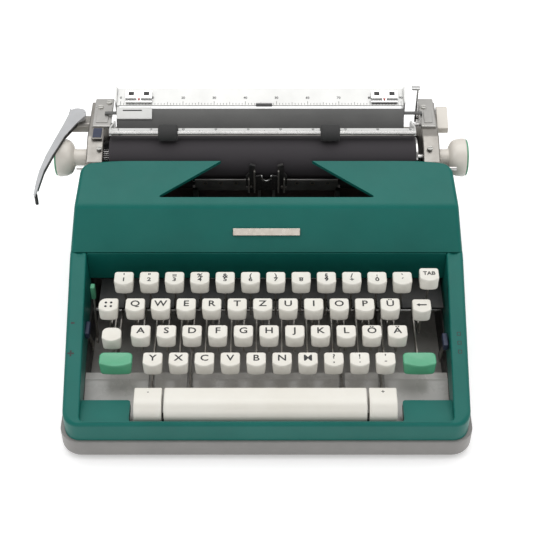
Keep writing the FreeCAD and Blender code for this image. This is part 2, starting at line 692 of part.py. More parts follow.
def low_lever_key(label, low_x, high_x, arms):
    """Long low key on arms that turn on the low shaft."""
    top = side_prism(label + "_top", [
        ("space_y", "space_low_z"), ("space_y + space_depth", "space_low_z"),
        ("space_y + space_depth", "space_back_z"), ("space_y + space_depth - 5", "space_back_z + 0.6"),
        ("space_y + 2.4", "space_front_z + 2.4"), ("space_y", "space_front_z")],
        low_x, high_x + " - (" + low_x + ")")
    round_edges(top, "1.2", lambda box: box.XLength > 10 and box.ZMin > size("space_front_z - 1"))
    pieces = [top]
    holes = []
    for number, x in enumerate(arms):
        tag = "%s_arm%d" % (label, number)
        pieces.append(side_prism(tag, [
            ("space_y + 10", "space_low_z + 1"), ("space_y + 10", "low_shaft_z - 3"),
            ("low_shaft_y", "low_shaft_z - 3"), ("low_shaft_y", "low_shaft_z + 3"),
            ("space_y + 18", "low_shaft_z + 3"), ("space_y + 18", "space_low_z + 1")],
            x + " - 0.8", "1.6"))
        pieces.append(rod(tag + "_hub", "x", "low_shaft_radius + 2", "1.6", x + " - 0.8",
                          "low_shaft_y", "low_shaft_z"))
        holes.append(rod(tag + "_bore", "x", "low_shaft_radius + running", "4", x + " - 2",
                         "low_shaft_y", "low_shaft_z"))
    return finish(label, cut(label + "_cut", join(label + "_join", pieces), holes))


def low_keys():
    """Space bar with the two tabulator keys beside it."""
    low_lever_key("space_bar", "space_low_x", "space_high_x", LOW_ARMS[1:3])
    left_high = "space_low_x - space_gap"
    low_lever_key("tab_clear_key", left_high + " - tab_width", left_high, LOW_ARMS[:1])
    right_low = "space_high_x + space_gap"
    low_lever_key("tab_set_key", right_low, right_low + " + tab_width", LOW_ARMS[3:])


def side_lever(label, x, wall, pivot_y, pivot_z, tip, handle, handle_width):
    """Small hand lever beside the keys: a thin arm with a handle on top."""
    tip_y, tip_z = tip
    depth, height = handle
    arm = side_prism(label + "_arm", [
        (pivot_y + " - 3", pivot_z), (pivot_y + " + 3", pivot_z),
        (tip_y + " + 1.6", tip_z), (tip_y + " - 1.6", tip_z)], x, wall)
    hub = rod(label + "_hub", "x", "4", wall, x, pivot_y, pivot_z)
    grip = block(label + "_grip", x + " + " + wall + "/2 - " + handle_width + "/2",
                 tip_y + " - " + depth + "/2", tip_z, handle_width, depth, height)
    return finish(label, join(label + "_join", [arm, hub, grip]))


def side_levers():
    """Three small levers beside the keys."""
    side_lever("side_release_lever", "-plate_inner + release_lever_step", "1.2", "96", "24",
               ("104", "62"), ("5", "13"), "3.4")
    side_lever("touch_lever", "-plate_inner + touch_lever_step", "1.2", "92", "20",
               ("80", "48"), ("12", "6"), "3.6")
    side_lever("ribbon_selector", "plate_inner - selector_step", "1.2", "80", "20",
               ("68", "48"), ("11", "6"), "4")


# ---------------------------------------------------------------- type basket and ribbon

def type_bar(name):
    """Resting type bar in the middle: hub, arm and the type slug at its end."""
    reach = "(print_z - pivot_z)"
    rise = "(type_bar_rise*1deg)"
    arm = []
    for along, across in (("0", "-1.8"), ("1.06", "-1.3"), ("1.06", "1.3"), ("0", "1.8")):
        y = "pivot_y - %s*%s*cos(%s) + (%s)*sin(%s)" % (along, reach, rise, across, rise)
        z = "pivot_z + %s*%s*sin(%s) + (%s)*cos(%s)" % (along, reach, rise, across, rise)
        arm.append((y, z))
    slug = []
    slug_out = "(print_y - pivot_y)"
    for along, across in (("0.9", "1"), ("1.1", "1"), ("1.08", slug_out), ("0.92", slug_out)):
        y = "pivot_y - %s*%s*cos(%s) + (%s)*sin(%s)" % (along, reach, rise, across, rise)
        z = "pivot_z + %s*%s*sin(%s) + (%s)*cos(%s)" % (along, reach, rise, across, rise)
        slug.append((y, z))
    bar = join(name + "_join", [
        side_prism(name + "_arm", arm, "-type_bar_wall/2", "type_bar_wall"),
        side_prism(name + "_slug", slug, "-1.1", "2.2"),
        rod(name + "_hub", "x", "3.2", "type_bar_wall", "-type_bar_wall/2", "pivot_y", "pivot_z")])
    bore = rod(name + "_bore", "x", "0.75", "4", "-2", "pivot_y", "pivot_z")
    return cut(name + "_cut", bar, [bore])


def fan_axis():
    """Direction of the axis, through the printing point, about which the type bars fan out."""
    tilt = math.radians(size("basket_tilt"))
    return FreeCAD.Vector(0, -math.sin(tilt), math.cos(tilt))


def type_bars():
    """The middle type bar, and the fan of all the others as separate solids."""
    middle = type_bar("middle_bar")
    finish("centre_type_bar", group("centre_bar_set", [middle]))
    doc.recompute()
    centre = FreeCAD.Vector(0, size("print_y"), size("print_z"))
    each = []
    half_count = 21
    for i in range(-half_count, half_count + 1):
        if i == 0:
            continue
        copy = middle.Shape.copy()
        copy.rotate(centre, fan_axis(), i * size("type_fan_step"))
        each.append(copy)
    fan = doc.addObject("Part::Feature", "type_bar_fan")
    fan.Shape = Part.makeCompound(each)
    finish("type_bars", group("type_bars_set", [fan]))


def type_segment():
    """Curved block round the pivots of the type bars, with two lugs."""
    centre = FreeCAD.Vector(0, size("print_y"), size("print_z"))
    pivot = FreeCAD.Vector(0, size("pivot_y"), size("pivot_z"))
    axis = fan_axis()
    along = axis * axis.dot(pivot - centre)
    middle = centre + along
    radius = (pivot - middle).Length
    inner = radius + size("segment_inner")
    outer = inner + size("segment_depth")
    height = size("segment_height")
    start = middle - axis * (height / 2)
    ring = Part.makeCylinder(outer, height, start, axis)
    ring = ring.cut(Part.makeCylinder(inner, height, start, axis))
    front = (pivot - middle).normalize()
    side = front.cross(axis)
    keep = Part.makeBox(outer * 2.2, outer * 1.4, height * 3)
    keep.Placement = FreeCAD.Placement(
        start - side * (outer * 1.1) + front * 12 - axis * height,
        FreeCAD.Rotation(side, front, axis, "XYZ"))
    block_shape = ring.common(keep)
    piece = doc.addObject("Part::Feature", "segment_block")
    piece.Shape = block_shape
    finish("type_segment", group("segment_set", [piece]))


def ribbon_spool(label, x):
    """Spool: two flanges on a core, turning on its axle."""
    core = rod(label + "_core", "z", "spool_radius - 4", "spool_height", x, "spool_y", "spool_low_z")
    low = rod(label + "_low", "z", "spool_radius", "1", x, "spool_y", "spool_low_z")
    high = rod(label + "_high", "z", "spool_radius", "1", x, "spool_y", "spool_low_z + spool_height - 1")
    bore = rod(label + "_bore", "z", "spool_axle_radius + running", "spool_height + 2", x, "spool_y",
               "spool_low_z - 1")
    finish(label, cut(label + "_cut", join(label + "_join", [core, low, high]), [bore]))


def spool_cups():
    """Two shallow cups with the axles that the spools turn on."""
    cups = []
    for side, x in (("l", "-spool_x"), ("r", "spool_x")):
        wall = rod("cup_wall_" + side, "z", "spool_radius + 2.6", "8", x, "spool_y", "spool_low_z - 3")
        hollow = rod("cup_hollow_" + side, "z", "spool_radius + 1.2", "8", x, "spool_y",
                     "spool_low_z - 1.4")
        notch = block("cup_notch_" + side, x + " - 8", "spool_y + spool_radius - 6", "spool_low_z - 1.4",
                      "16", "12", "12")
        axle = rod("cup_axle_" + side, "z", "spool_axle_radius", "spool_height + 1.6", x, "spool_y",
                   "spool_low_z - 2")
        cups.append(join("cup_join_" + side, [
            cut("cup_cut_" + side, wall, [hollow, notch]), axle]))
    return finish("spool_cups", group("cups", cups))


def ribbon():
    """Inked ribbon between the two spools, past the printing point."""
    y_mid = "print_y - 0.55"
    route = [("-spool_x + 4", "spool_y + spool_radius + 3.4"), ("-36", y_mid), ("36", y_mid),
             ("spool_x - 4", "spool_y + spool_radius + 3.4")]
    back = [(x, y + " - ribbon_wall") for x, y in reversed(route)]
    strip = plan_prism("ribbon_strip", route + back, "ribbon_low_z", "ribbon_height")
    return finish("ribbon", strip)


def ribbon_vibrator():
    """Fork that lifts the ribbon in front of the platen."""
    y = "print_y - 2.1"
    foot = block("vibrator_foot", "-7", y, "80", "14", "0.9", "4")
    prongs = [block("vibrator_prong%d" % i, x, y, "80", "2.4", "0.9", "ribbon_low_z + ribbon_height - 78")
              for i, x in enumerate(("-7", "4.6"))]
    return finish("ribbon_vibrator", join("vibrator_join", [foot] + prongs))


def type_guide():
    """Two upright cheeks between which each type bar strikes."""
    cheeks = []
    for side, x in (("l", "-13.7"), ("r", "9.5")):
        cheeks.append(side_prism("cheek_" + side, [
            ("print_y - 6.4", "100"), ("print_y - 2.6", "100"), ("print_y - 2.6", "125"),
            ("print_y - 4.6", "125")], x, "4.2"))
    return finish("type_guide", group("cheeks", cheeks))


def card_holders():
    """Bracket each side of the guide, with a card plate that has three holes, and its support."""
    sides = []
    for side, low in (("l", "-58"), ("r", "13.9")):
        beam = block("card_beam_" + side, low, "print_y - 6.6", "100", "44.1", "3", "3.4")
        plate = block("card_plate_" + side, low + " + 2", "print_y - 6.6", "103", "40", "1.2", "8")
        leg_x = "-58" if side == "l" else "54"
        leg = block("card_leg_" + side, leg_x, "print_y - 6.6", "deck_z + deck_wall", "4", "3",
                    "103 - deck_z - deck_wall")
        holes = [rod("card_hole_%s%d" % (side, i), "y", "1.3", "6", low + " + %d" % (10 + 12 * i),
                     "print_y - 8", "107.4") for i in range(3)]
        sides.append(cut("card_cut_" + side, join("card_join_" + side, [beam, plate, leg]), holes))
    return finish("card_holders", group("cards", sides))


def bell():
    """Dome of the end-of-line bell."""
    dome = rod("bell_dome", "z", "bell_radius", "bell_height", "bell_x", "bell_y", "bell_z")
    hollow = rod("bell_hollow", "z", "bell_radius - bell_wall", "bell_height - 1", "bell_x", "bell_y",
                 "bell_z - 1")
    post = rod("bell_post", "z", "2", "bell_z + bell_height - 8", "bell_x", "bell_y", "base_floor_z")
    top = rod("bell_nut", "z", "3.4", "3", "bell_x", "bell_y", "bell_z + bell_height - 1")
    return finish("bell", join("bell_join", [cut("bell_cut", dome, [hollow]), post, top]))


def mainspring_drum():
    """Drum whose spring pulls the carriage along."""
    drum = rod("drum_body", "z", "drum_radius", "drum_height", "drum_x", "drum_y", "drum_z")
    rim = rod("drum_rim", "z", "drum_radius + 2", "1.2", "drum_x", "drum_y", "drum_z")
    return finish("mainspring_drum", join("drum_join", [drum, rim]))


# ---------------------------------------------------------------- carriage

def end_casting(side, x):
    """Solid end of the carriage, stepped over the rails."""
    return side_prism("casting_" + side, [
        ("casting_front_y", "casting_low_z"), ("rail_y - 6", "casting_low_z"),
        ("rail_y - 6", "rail_top_z + gap"), ("casting_back_y", "rail_top_z + gap"),
        ("casting_back_y", "casting_top_z"), ("casting_front_y + 21.5", "casting_top_z"),
        ("casting_front_y", "casting_front_z")], x, "casting_width")


def carriage_frame():
    """Two end castings, their top plates, the rear cross bar and the return lever's bracket."""
    left_x = "casting_left_x"
    right_x = "casting_right_x"
    bracket = block("lever_bracket", "lever_pivot_x - 6", "lever_pivot_y - 6", "118",
                    "casting_left_x - lever_pivot_x + 7", "12", "8")
    post = rod("lever_post", "z", "lever_pin_radius", "blade_z + blade_wall - 120", "lever_pivot_x",
               "lever_pivot_y", "119")
    cross = block("cross_bar", left_x + " + 6", "246", "97", "casting_right_x - casting_left_x", "12",
                  "8")
    plates = []
    for side, x, width in (("l", left_x + " + 3", "15"), ("r", right_x, "12")):
        plates.append(block("end_plate_" + side, x, "228", "casting_top_z - 0.5", width, "36", "2.5"))
    frame = join("carriage_join", [end_casting("l", left_x), end_casting("r", right_x), bracket, post,
                                   cross] + plates)
    span = ("casting_left_x - 2", "casting_right_x - casting_left_x + casting_width + 4")
    holes = [
        rod("platen_bore", "x", "platen_shaft_radius + running", span[1], span[0], "platen_y",
            "platen_z"),
        rod("feed_bore", "x", "1.5 + running", "casting_right_x - casting_left_x", left_x + " + 6.6",
            "feed_y", feed_z()),
        rod("bail_bore_l", "x", "1.5 + running", "8", left_x + " + 6", "bail_pivot_y",
            "bail_pivot_z"),
        rod("bail_bore_r", "x", "1.5 + running", "8", right_x + " - 1", "bail_pivot_y",
            "bail_pivot_z"),
        rod("paper_release_bore", "x", "1.5 + running", "8", right_x + " - 1", "256", "116"),
        rod("release_bore", "x", "1.5 + running", "8", right_x + " + casting_width - 6", "247", "112")]
    return finish("carriage_frame", cut("carriage_cut", frame, holes))


def feed_z():
    """Height of the feed rollers' axle, a gap below the platen."""
    reach = "(platen_radius + feed_radius + gap)"
    return "platen_z - sqrt(%s^2 - (platen_y - feed_y)^2)" % reach


def carriage_screws():
    """Slotted screw heads on the castings and end plates."""
    spots = (("-131.6", "206", "124.3"), ("128.6", "206", "124.3"), ("-134", "252", "casting_top_z + 2"),
             ("-127.6", "258", "casting_top_z + 2"), ("127", "252", "casting_top_z + 2"))
    heads = []
    for i, (x, y, z) in enumerate(spots):
        head = rod("screw_head%d" % i, "z", "2.2", "1.1", x, y, z)
        slot = block("screw_slot%d" % i, x + " - 3", y + " - 0.35", z + " + 0.5", "6", "0.7", "1")
        heads.append(cut("screw%d" % i, head, [slot]))
    return finish("carriage_screws", group("screws", heads))


def platen():
    """Rubber sleeve, its core with shaft and line-space ratchet, and the two knobs."""
    sleeve = turned("sleeve", [("platen_low_x", "platen_core_radius"),
                               ("platen_high_x", "platen_core_radius"),
                               ("platen_high_x", "platen_radius"), ("platen_low_x", "platen_radius")])
    turned_part("platen_rubber", sleeve, "platen_y", "platen_z")
    low = "knob_left_x + 6"
    high = "knob_right_x - 6"
    ratchet = "platen_low_x - 5"
    core = turned("core", [(low, "0"), (high, "0"), (high, "platen_shaft_radius"),
                           ("platen_high_x + 1.4", "platen_shaft_radius"),
                           ("platen_high_x + 1.4", "platen_radius - 1"),
                           ("platen_high_x", "platen_radius - 1"),
                           ("platen_high_x", "platen_core_radius"),
                           ("platen_low_x", "platen_core_radius"),
                           ("platen_low_x", "platen_core_radius + 1"),
                           (ratchet, "platen_core_radius + 1"), (ratchet, "platen_shaft_radius"),
                           (low, "platen_shaft_radius")])
    turned_part("platen_core", core, "platen_y", "platen_z")
    for label, outer, hub_end, sign in (("knob_left", "knob_left_x", "casting_left_x - gap", "+"),
                                        ("knob_right", "knob_right_x",
                                         "casting_right_x + casting_width + gap", "-")):
        inner = "%s %s knob_width" % (outer, sign)
        rim = "%s %s 2" % (outer, sign)
        seat = "%s %s 6" % (outer, sign)
        knob = turned(label + "_turned", [
            (outer, "0"), (outer, "knob_radius - 1.2"), (rim, "knob_radius"),
            ("%s %s 9" % (outer, sign), "knob_radius - 0.4"), (inner, "knob_radius - 3.6"),
            (inner, "knob_hub_radius"), (hub_end, "knob_hub_radius"),
            (hub_end, "platen_shaft_radius"), (seat, "platen_shaft_radius"), (seat, "0")])
        turned_part(label, knob, "platen_y", "platen_z")


def turned_part(label, body, y, z):
    """Finish a piece that was turned about the x axis, with its axis at y, z."""
    place(body, "0", y, z)
    finish(label, group(label + "_set", [body]))


def feed_rollers():
    """Three rubber rollers on one axle under the platen."""
    axle = rod("feed_axle", "x", "1.5", "casting_right_x - casting_left_x - 14", "casting_left_x + 7.4",
               "feed_y", feed_z())
    rollers = []
    for i in range(3):
        x = "platen_low_x + 20 + %d*78" % i
        rollers.append(rod("feed_roller%d" % i, "x", "feed_radius", "44", x, "feed_y", feed_z()))
    return finish("feed_rollers", join("feed_join", [axle] + rollers))


def paper_bail():
    """Rod and flat scale strip on two arms, with gaps for its rollers."""
    arm_left = "platen_low_x + 0.3"
    arm_right = "platen_high_x - 1.8"
    span = "(%s) - (%s)" % (arm_right, arm_left)
    axle = rod("bail_rod", "x", "bail_rod_radius", span, arm_left, "bail_y", "bail_z")
    strip = block("bail_strip", arm_left, "bail_y + 0.4", "bail_z - 0.5", span, "5", "1")
    gaps = []
    for i, x in enumerate(("bail_roller_left_x", "bail_roller_right_x")):
        gaps.append(block("bail_gap%d" % i, x + " - bail_roller_width/2 - gap", "bail_y - 1",
                          "bail_z - 4", "bail_roller_width + 2*gap", "9", "8"))
    strip_cut = cut("bail_strip_cut", strip, gaps)
    pieces = [axle, strip_cut]
    for side, x in (("l", arm_left), ("r", arm_right)):
        arm = side_prism("bail_arm_" + side, [
            ("bail_y - 1.2", "bail_z - 2"), ("bail_pivot_y - 1", "bail_pivot_z - 2.4"),
            ("bail_pivot_y + 1", "bail_pivot_z + 2.4"), ("bail_y + 5", "bail_z + 2"),
            ("bail_y", "bail_z + 2")], x, "1.5")
        pin_x = x + " - 7" if side == "l" else x
        pieces += [arm, rod("bail_hub_" + side, "x", "3", "1.5", x, "bail_pivot_y", "bail_pivot_z"),
                   rod("bail_pin_" + side, "x", "1.5", "9.5", pin_x, "bail_pivot_y", "bail_pivot_z")]
    finish("paper_bail", join("bail_join", pieces))
    for label, x in (("bail_roller_left", "bail_roller_left_x"),
                     ("bail_roller_right", "bail_roller_right_x")):
        low = x + " - bail_roller_width/2"
        roller = rod(label + "_drum", "x", "bail_roller_radius", "bail_roller_width", low, "bail_y",
                     "bail_z")
        bore = rod(label + "_bore", "x", "bail_rod_radius + running", "bail_roller_width + 2",
                   low + " - 1", "bail_y", "bail_z")
        finish(label, cut(label + "_cut", roller, [bore]))


def paper_table():
    """Bent sheet behind the platen that carries the paper, with an ear at each end."""
    sheet = side_prism("table_sheet", [
        ("table_low_y", "table_low_z"), ("table_crease_y", "table_crease_z"),
        ("table_top_y", "table_top_z"), ("table_top_y + 0.9", "table_top_z - table_wall"),
        ("table_crease_y + 1.1", "table_crease_z - table_wall"),
        ("table_low_y + table_wall", "table_low_z - 0.4")], "table_low_x", "table_high_x - table_low_x")
    ears = [block("table_ear_l", "casting_left_x + casting_width - 1", "240.4", "131", "9.8", "3", "1.4"),
            block("table_post_l", "casting_left_x + casting_width - 1", "240.4", "casting_top_z + 2",
                  "2", "3", "2"),
            block("table_ear_r", "table_high_x - 1", "240.4", "131", "casting_right_x - table_high_x + 2.5",
                  "3", "1.4"),
            block("table_post_r", "casting_right_x", "240.4", "casting_top_z + 2", "1.5", "3", "2")]
    return finish("paper_table", join("table_join", [sheet] + ears))


def margin_scale():
    """Bright scale behind the paper table, on two end posts from the cross bar."""
    plate = side_prism("scale_plate", [
        ("scale_low_y", "scale_low_z - 1"), ("scale_high_y", "scale_high_z - 1"),
        ("scale_high_y", "scale_high_z"), ("scale_low_y", "scale_low_z")],
        "table_low_x", "table_high_x - table_low_x")
    posts = []
    for side, x in (("l", "table_low_x - 1.4"), ("r", "table_high_x")):
        posts.append(side_prism("scale_post_" + side, [
            ("248", "105"), ("257", "105"), ("scale_high_y", "scale_high_z + 3"),
            ("scale_low_y + 1", "scale_low_z + 3")], x, "1.4"))
    tab = block("scale_tab", "-8.5", "scale_low_y - 0.8", "scale_low_z - 0.9", "13", "1.5", "3")
    return finish("margin_scale", join("scale_join", [plate, tab] + posts))


def margin_stop(label, x):
    """Sliding margin stop: a bridge with two blocks on top."""
    slope = "(scale_high_z - scale_low_z)/(scale_high_y - scale_low_y)"
    outlines = (("low", "1", "12", "0.8", "2.4"), ("top", "2.5", "10", "2.2", "4.6"))
    parts = []
    for tag, near, far, low, high in outlines:
        points = []
        for y, lift in ((near, low), (far, low), (far, high), (near, high)):
            points.append(("scale_low_y + " + y, "scale_low_z + %s*%s + %s" % (y, slope, lift)))
        if tag == "low":
            parts.append(side_prism(label + "_low", points, x, "stop_width"))
        else:
            parts.append(side_prism(label + "_top0", points, x, "stop_width*0.42"))
            parts.append(side_prism(label + "_top1", points, x + " + stop_width*0.58", "stop_width*0.42"))
    return finish(label, join(label + "_join", parts))


def paper_guide():
    """Pale plate that slides along the paper table."""
    slope = "(table_top_z - table_crease_z)/(table_top_y - table_crease_y)"
    points = []
    for y, lift in (("0", "0.7"), ("8.3", "0.7"), ("8.3", "1.9"), ("0", "1.9")):
        points.append(("table_crease_y + " + y, "table_crease_z + %s*%s + %s" % (y, slope, lift)))
    return finish("paper_guide", side_prism("guide_plate", points, "table_low_x", "guide_width"))


def return_lever():
    """Long tapering blade on a pivot, with a hanging finger tab at its front end."""
    hub = rod("return_hub", "z", "7", "4.2", "lever_pivot_x", "lever_pivot_y",
              "blade_z + blade_wall - 4.2")
    blade = plan_prism("return_blade", [
        ("lever_pivot_x - 0.4", "lever_pivot_y + 7"), ("lever_pivot_x - 10.8", "lever_pivot_y - 1"),
        ("tip_x + 2.4", "tip_y + 42"), ("tip_x", "tip_y + 20"), ("tip_x", "tip_y"),
        ("tip_x + 1.5", "tip_y"), ("tip_x + 3.7", "tip_y + 26"),
        ("lever_pivot_x + 5", "lever_pivot_y - 5")], "blade_z", "blade_wall")
    finger = plan_prism("return_finger", [
        ("tip_x", "tip_y"), ("tip_x + 1.5", "tip_y"), ("tip_x + 1.6", "tip_y + 9"),
        ("tip_x", "tip_y + 9")], "blade_z - 9.5", "10")
    joined = join("return_join", [hub, blade, finger])
    bore = rod("return_bore", "z", "lever_pin_radius + running", "12", "lever_pivot_x",
               "lever_pivot_y", "blade_z - 6")
    return finish("return_lever", cut("return_cut", joined, [bore]))


def line_space_selector():
    """Small dark pad on the left casting that sets the line spacing."""
    pad = plan_prism("selector_pad", [
        ("casting_left_x + 3.6", "213"), ("casting_left_x + 12.6", "213"),
        ("casting_left_x + 12.6", "226.6"), ("casting_left_x + 3.6", "226.6")],
        "casting_top_z + gap", "1.8")
    round_edges(pad, "1.6", upright)
    return finish("line_space_selector", pad)


def carriage_release_lever():
    """Pale block at the right end that frees the carriage, on a pivot pin."""
    block_part = side_prism("release_block", [
        ("236", "116"), ("236.6", "121"), ("256", "127.6"), ("258", "125"), ("258", "118"),
        ("250", "110"), ("244", "110")], "release_x", "release_width")
    pin = rod("release_pin", "x", "1.5", "5", "release_x - 4.4", "247", "112")
    return finish("carriage_release_lever", join("release_join", [block_part, pin]))


def paper_release_lever():
    """Upright arm at the right end with a small tab on top, on a pivot pin."""
    x = "casting_right_x - 2.6"
    arm = side_prism("paper_release_arm", [
        ("253", "113"), ("259", "113"), ("257", "146.5"), ("254.4", "146.5")], x, "1.4")
    tab = block("paper_release_tab", x + " - 4.4", "252.4", "146", "6.6", "4.6", "2")
    pin = rod("paper_release_pin", "x", "1.5", "6", x, "256", "116")
    return finish("paper_release_lever", join("paper_release_join", [arm, tab, pin]))


# ---------------------------------------------------------------- the whole machine

def build_all():
    """Make every sub-part."""
    for make in (base_pan, rubber_feet, case_screws, body_shell, chassis, cover_hinge_pins,
                 ribbon_cover, name_badge, lever_shafts, carriage_rails, stop_bar, key_guard_plate,
                 key_rows, side_keys, low_keys, side_levers, type_bars, type_segment, spool_cups,
                 ribbon, ribbon_vibrator, type_guide, card_holders, bell, mainspring_drum,
                 carriage_frame, carriage_screws, platen, feed_rollers, paper_bail, paper_table,
                 margin_scale, paper_guide, return_lever, line_space_selector,
                 carriage_release_lever, paper_release_lever):
        make()
    ribbon_spool("ribbon_spool_left", "-spool_x")
    ribbon_spool("ribbon_spool_right", "spool_x")
    margin_stop("margin_stop_left", "stop_left_x")
    margin_stop("margin_stop_right", "stop_right_x")
    doc.recompute()


def check_and_write():
    """Refuse a document with a failed object, then write one STEP file for each sub-part."""
    for item in doc.Objects:
        if "Invalid" in item.State or "Error" in item.State:
            raise RuntimeError("failed object: " + item.Name)
    os.makedirs("parts", exist_ok=True)
    for part in finished:
        shape = part.Shape
        if shape.isNull() or not shape.isValid() or not shape.Solids:
            raise RuntimeError("bad shape: " + part.Label)
        shape.exportStep("parts/" + part.Label + ".step")
        low = shape.BoundBox
        print("%-24s %3d solids  x %7.1f %7.1f  y %7.1f %7.1f  z %6.1f %6.1f" % (
            part.Label, len(shape.Solids), low.XMin, low.XMax, low.YMin, low.YMax, low.ZMin, low.ZMax))


build_all()
check_and_write()
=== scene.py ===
import logging
import math
from dataclasses import dataclass, field
from enum import Enum
from typing import Callable, Sequence

import bmesh
import bpy
from mathutils import Matrix, Vector
from mathutils.bvhtree import BVHTree


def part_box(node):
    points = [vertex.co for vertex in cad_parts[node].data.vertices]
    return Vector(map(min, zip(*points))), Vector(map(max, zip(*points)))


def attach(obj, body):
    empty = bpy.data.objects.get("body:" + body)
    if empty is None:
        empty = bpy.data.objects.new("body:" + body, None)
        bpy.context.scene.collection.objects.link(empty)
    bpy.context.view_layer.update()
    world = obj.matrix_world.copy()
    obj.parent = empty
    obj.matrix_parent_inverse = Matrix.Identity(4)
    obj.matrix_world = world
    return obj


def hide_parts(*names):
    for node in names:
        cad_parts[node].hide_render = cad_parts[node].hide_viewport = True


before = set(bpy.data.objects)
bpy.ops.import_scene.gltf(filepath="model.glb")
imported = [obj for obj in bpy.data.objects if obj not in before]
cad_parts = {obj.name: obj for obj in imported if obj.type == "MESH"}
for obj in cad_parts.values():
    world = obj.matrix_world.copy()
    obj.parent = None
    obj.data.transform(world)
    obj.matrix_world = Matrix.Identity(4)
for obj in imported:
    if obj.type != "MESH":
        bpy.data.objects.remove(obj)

# The looks of a portable typewriter. Shapes are made in millimetres, measured from the front middle
# of the painted shell (x to the right, y to the back, z up from the table), and moved into the
# frame's own place and metres when a piece is finished.

LOG = logging.getLogger("typewriter")
METRE = 0.001
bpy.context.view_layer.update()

Point = tuple[float, float, float]
Flat = tuple[float, float]
Colour = tuple[float, float, float]


class Axis(Enum):
    """Direction in which an outline is drawn out or a profile is turned."""

    X = 0
    Y = 1
    Z = 2

    def point(self, first: float, second: float, along: float) -> Vector:
        """Place an outline's two measures and the measure along the axis."""
        order = {Axis.X: (along, first, second), Axis.Y: (first, along, second),
                 Axis.Z: (first, second, along)}
        return Vector(order[self])

    def turn(self) -> Matrix:
        """Rotation that brings the x axis onto this axis."""
        angles = {Axis.X: Matrix.Identity(3), Axis.Y: Matrix.Rotation(math.pi / 2, 3, "Z"),
                  Axis.Z: Matrix.Rotation(-math.pi / 2, 3, "Y")}
        return angles[self]


@dataclass(frozen=True)
class Span:
    """Lowest and highest corner of a node, in millimetres from the shell's front middle."""

    low: Vector
    high: Vector

    @property
    def middle(self) -> Vector:
        """Middle of the box."""
        return (self.low + self.high) / 2


class Bench:
    """Turns the frame's metres into millimetres from the shell's front middle, and back."""

    def __init__(self) -> None:
        """Find the middle of the shell's front edge."""
        low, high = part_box("body_shell")
        self.origin = Vector(((low.x + high.x) / 2, low.y, 0.0))

    def span(self, node: str) -> Span:
        """Box of one node on the bench."""
        low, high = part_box(node)
        return Span((low - self.origin) / METRE, (high - self.origin) / METRE)

    def to_frame(self) -> Matrix:
        """Transform from bench millimetres to the frame."""
        return Matrix.Translation(self.origin) @ Matrix.Scale(METRE, 4)


BENCH = Bench()


# ---------------------------------------------------------------- finishes

class Grain(Enum):
    """Kinds of fine relief that a finish can have."""

    SPRAYED = "sprayed"
    HAMMERED = "hammered"
    BRUSHED = "brushed"
    MOULDED = "moulded"
    CAST = "cast"
    WOVEN = "woven"


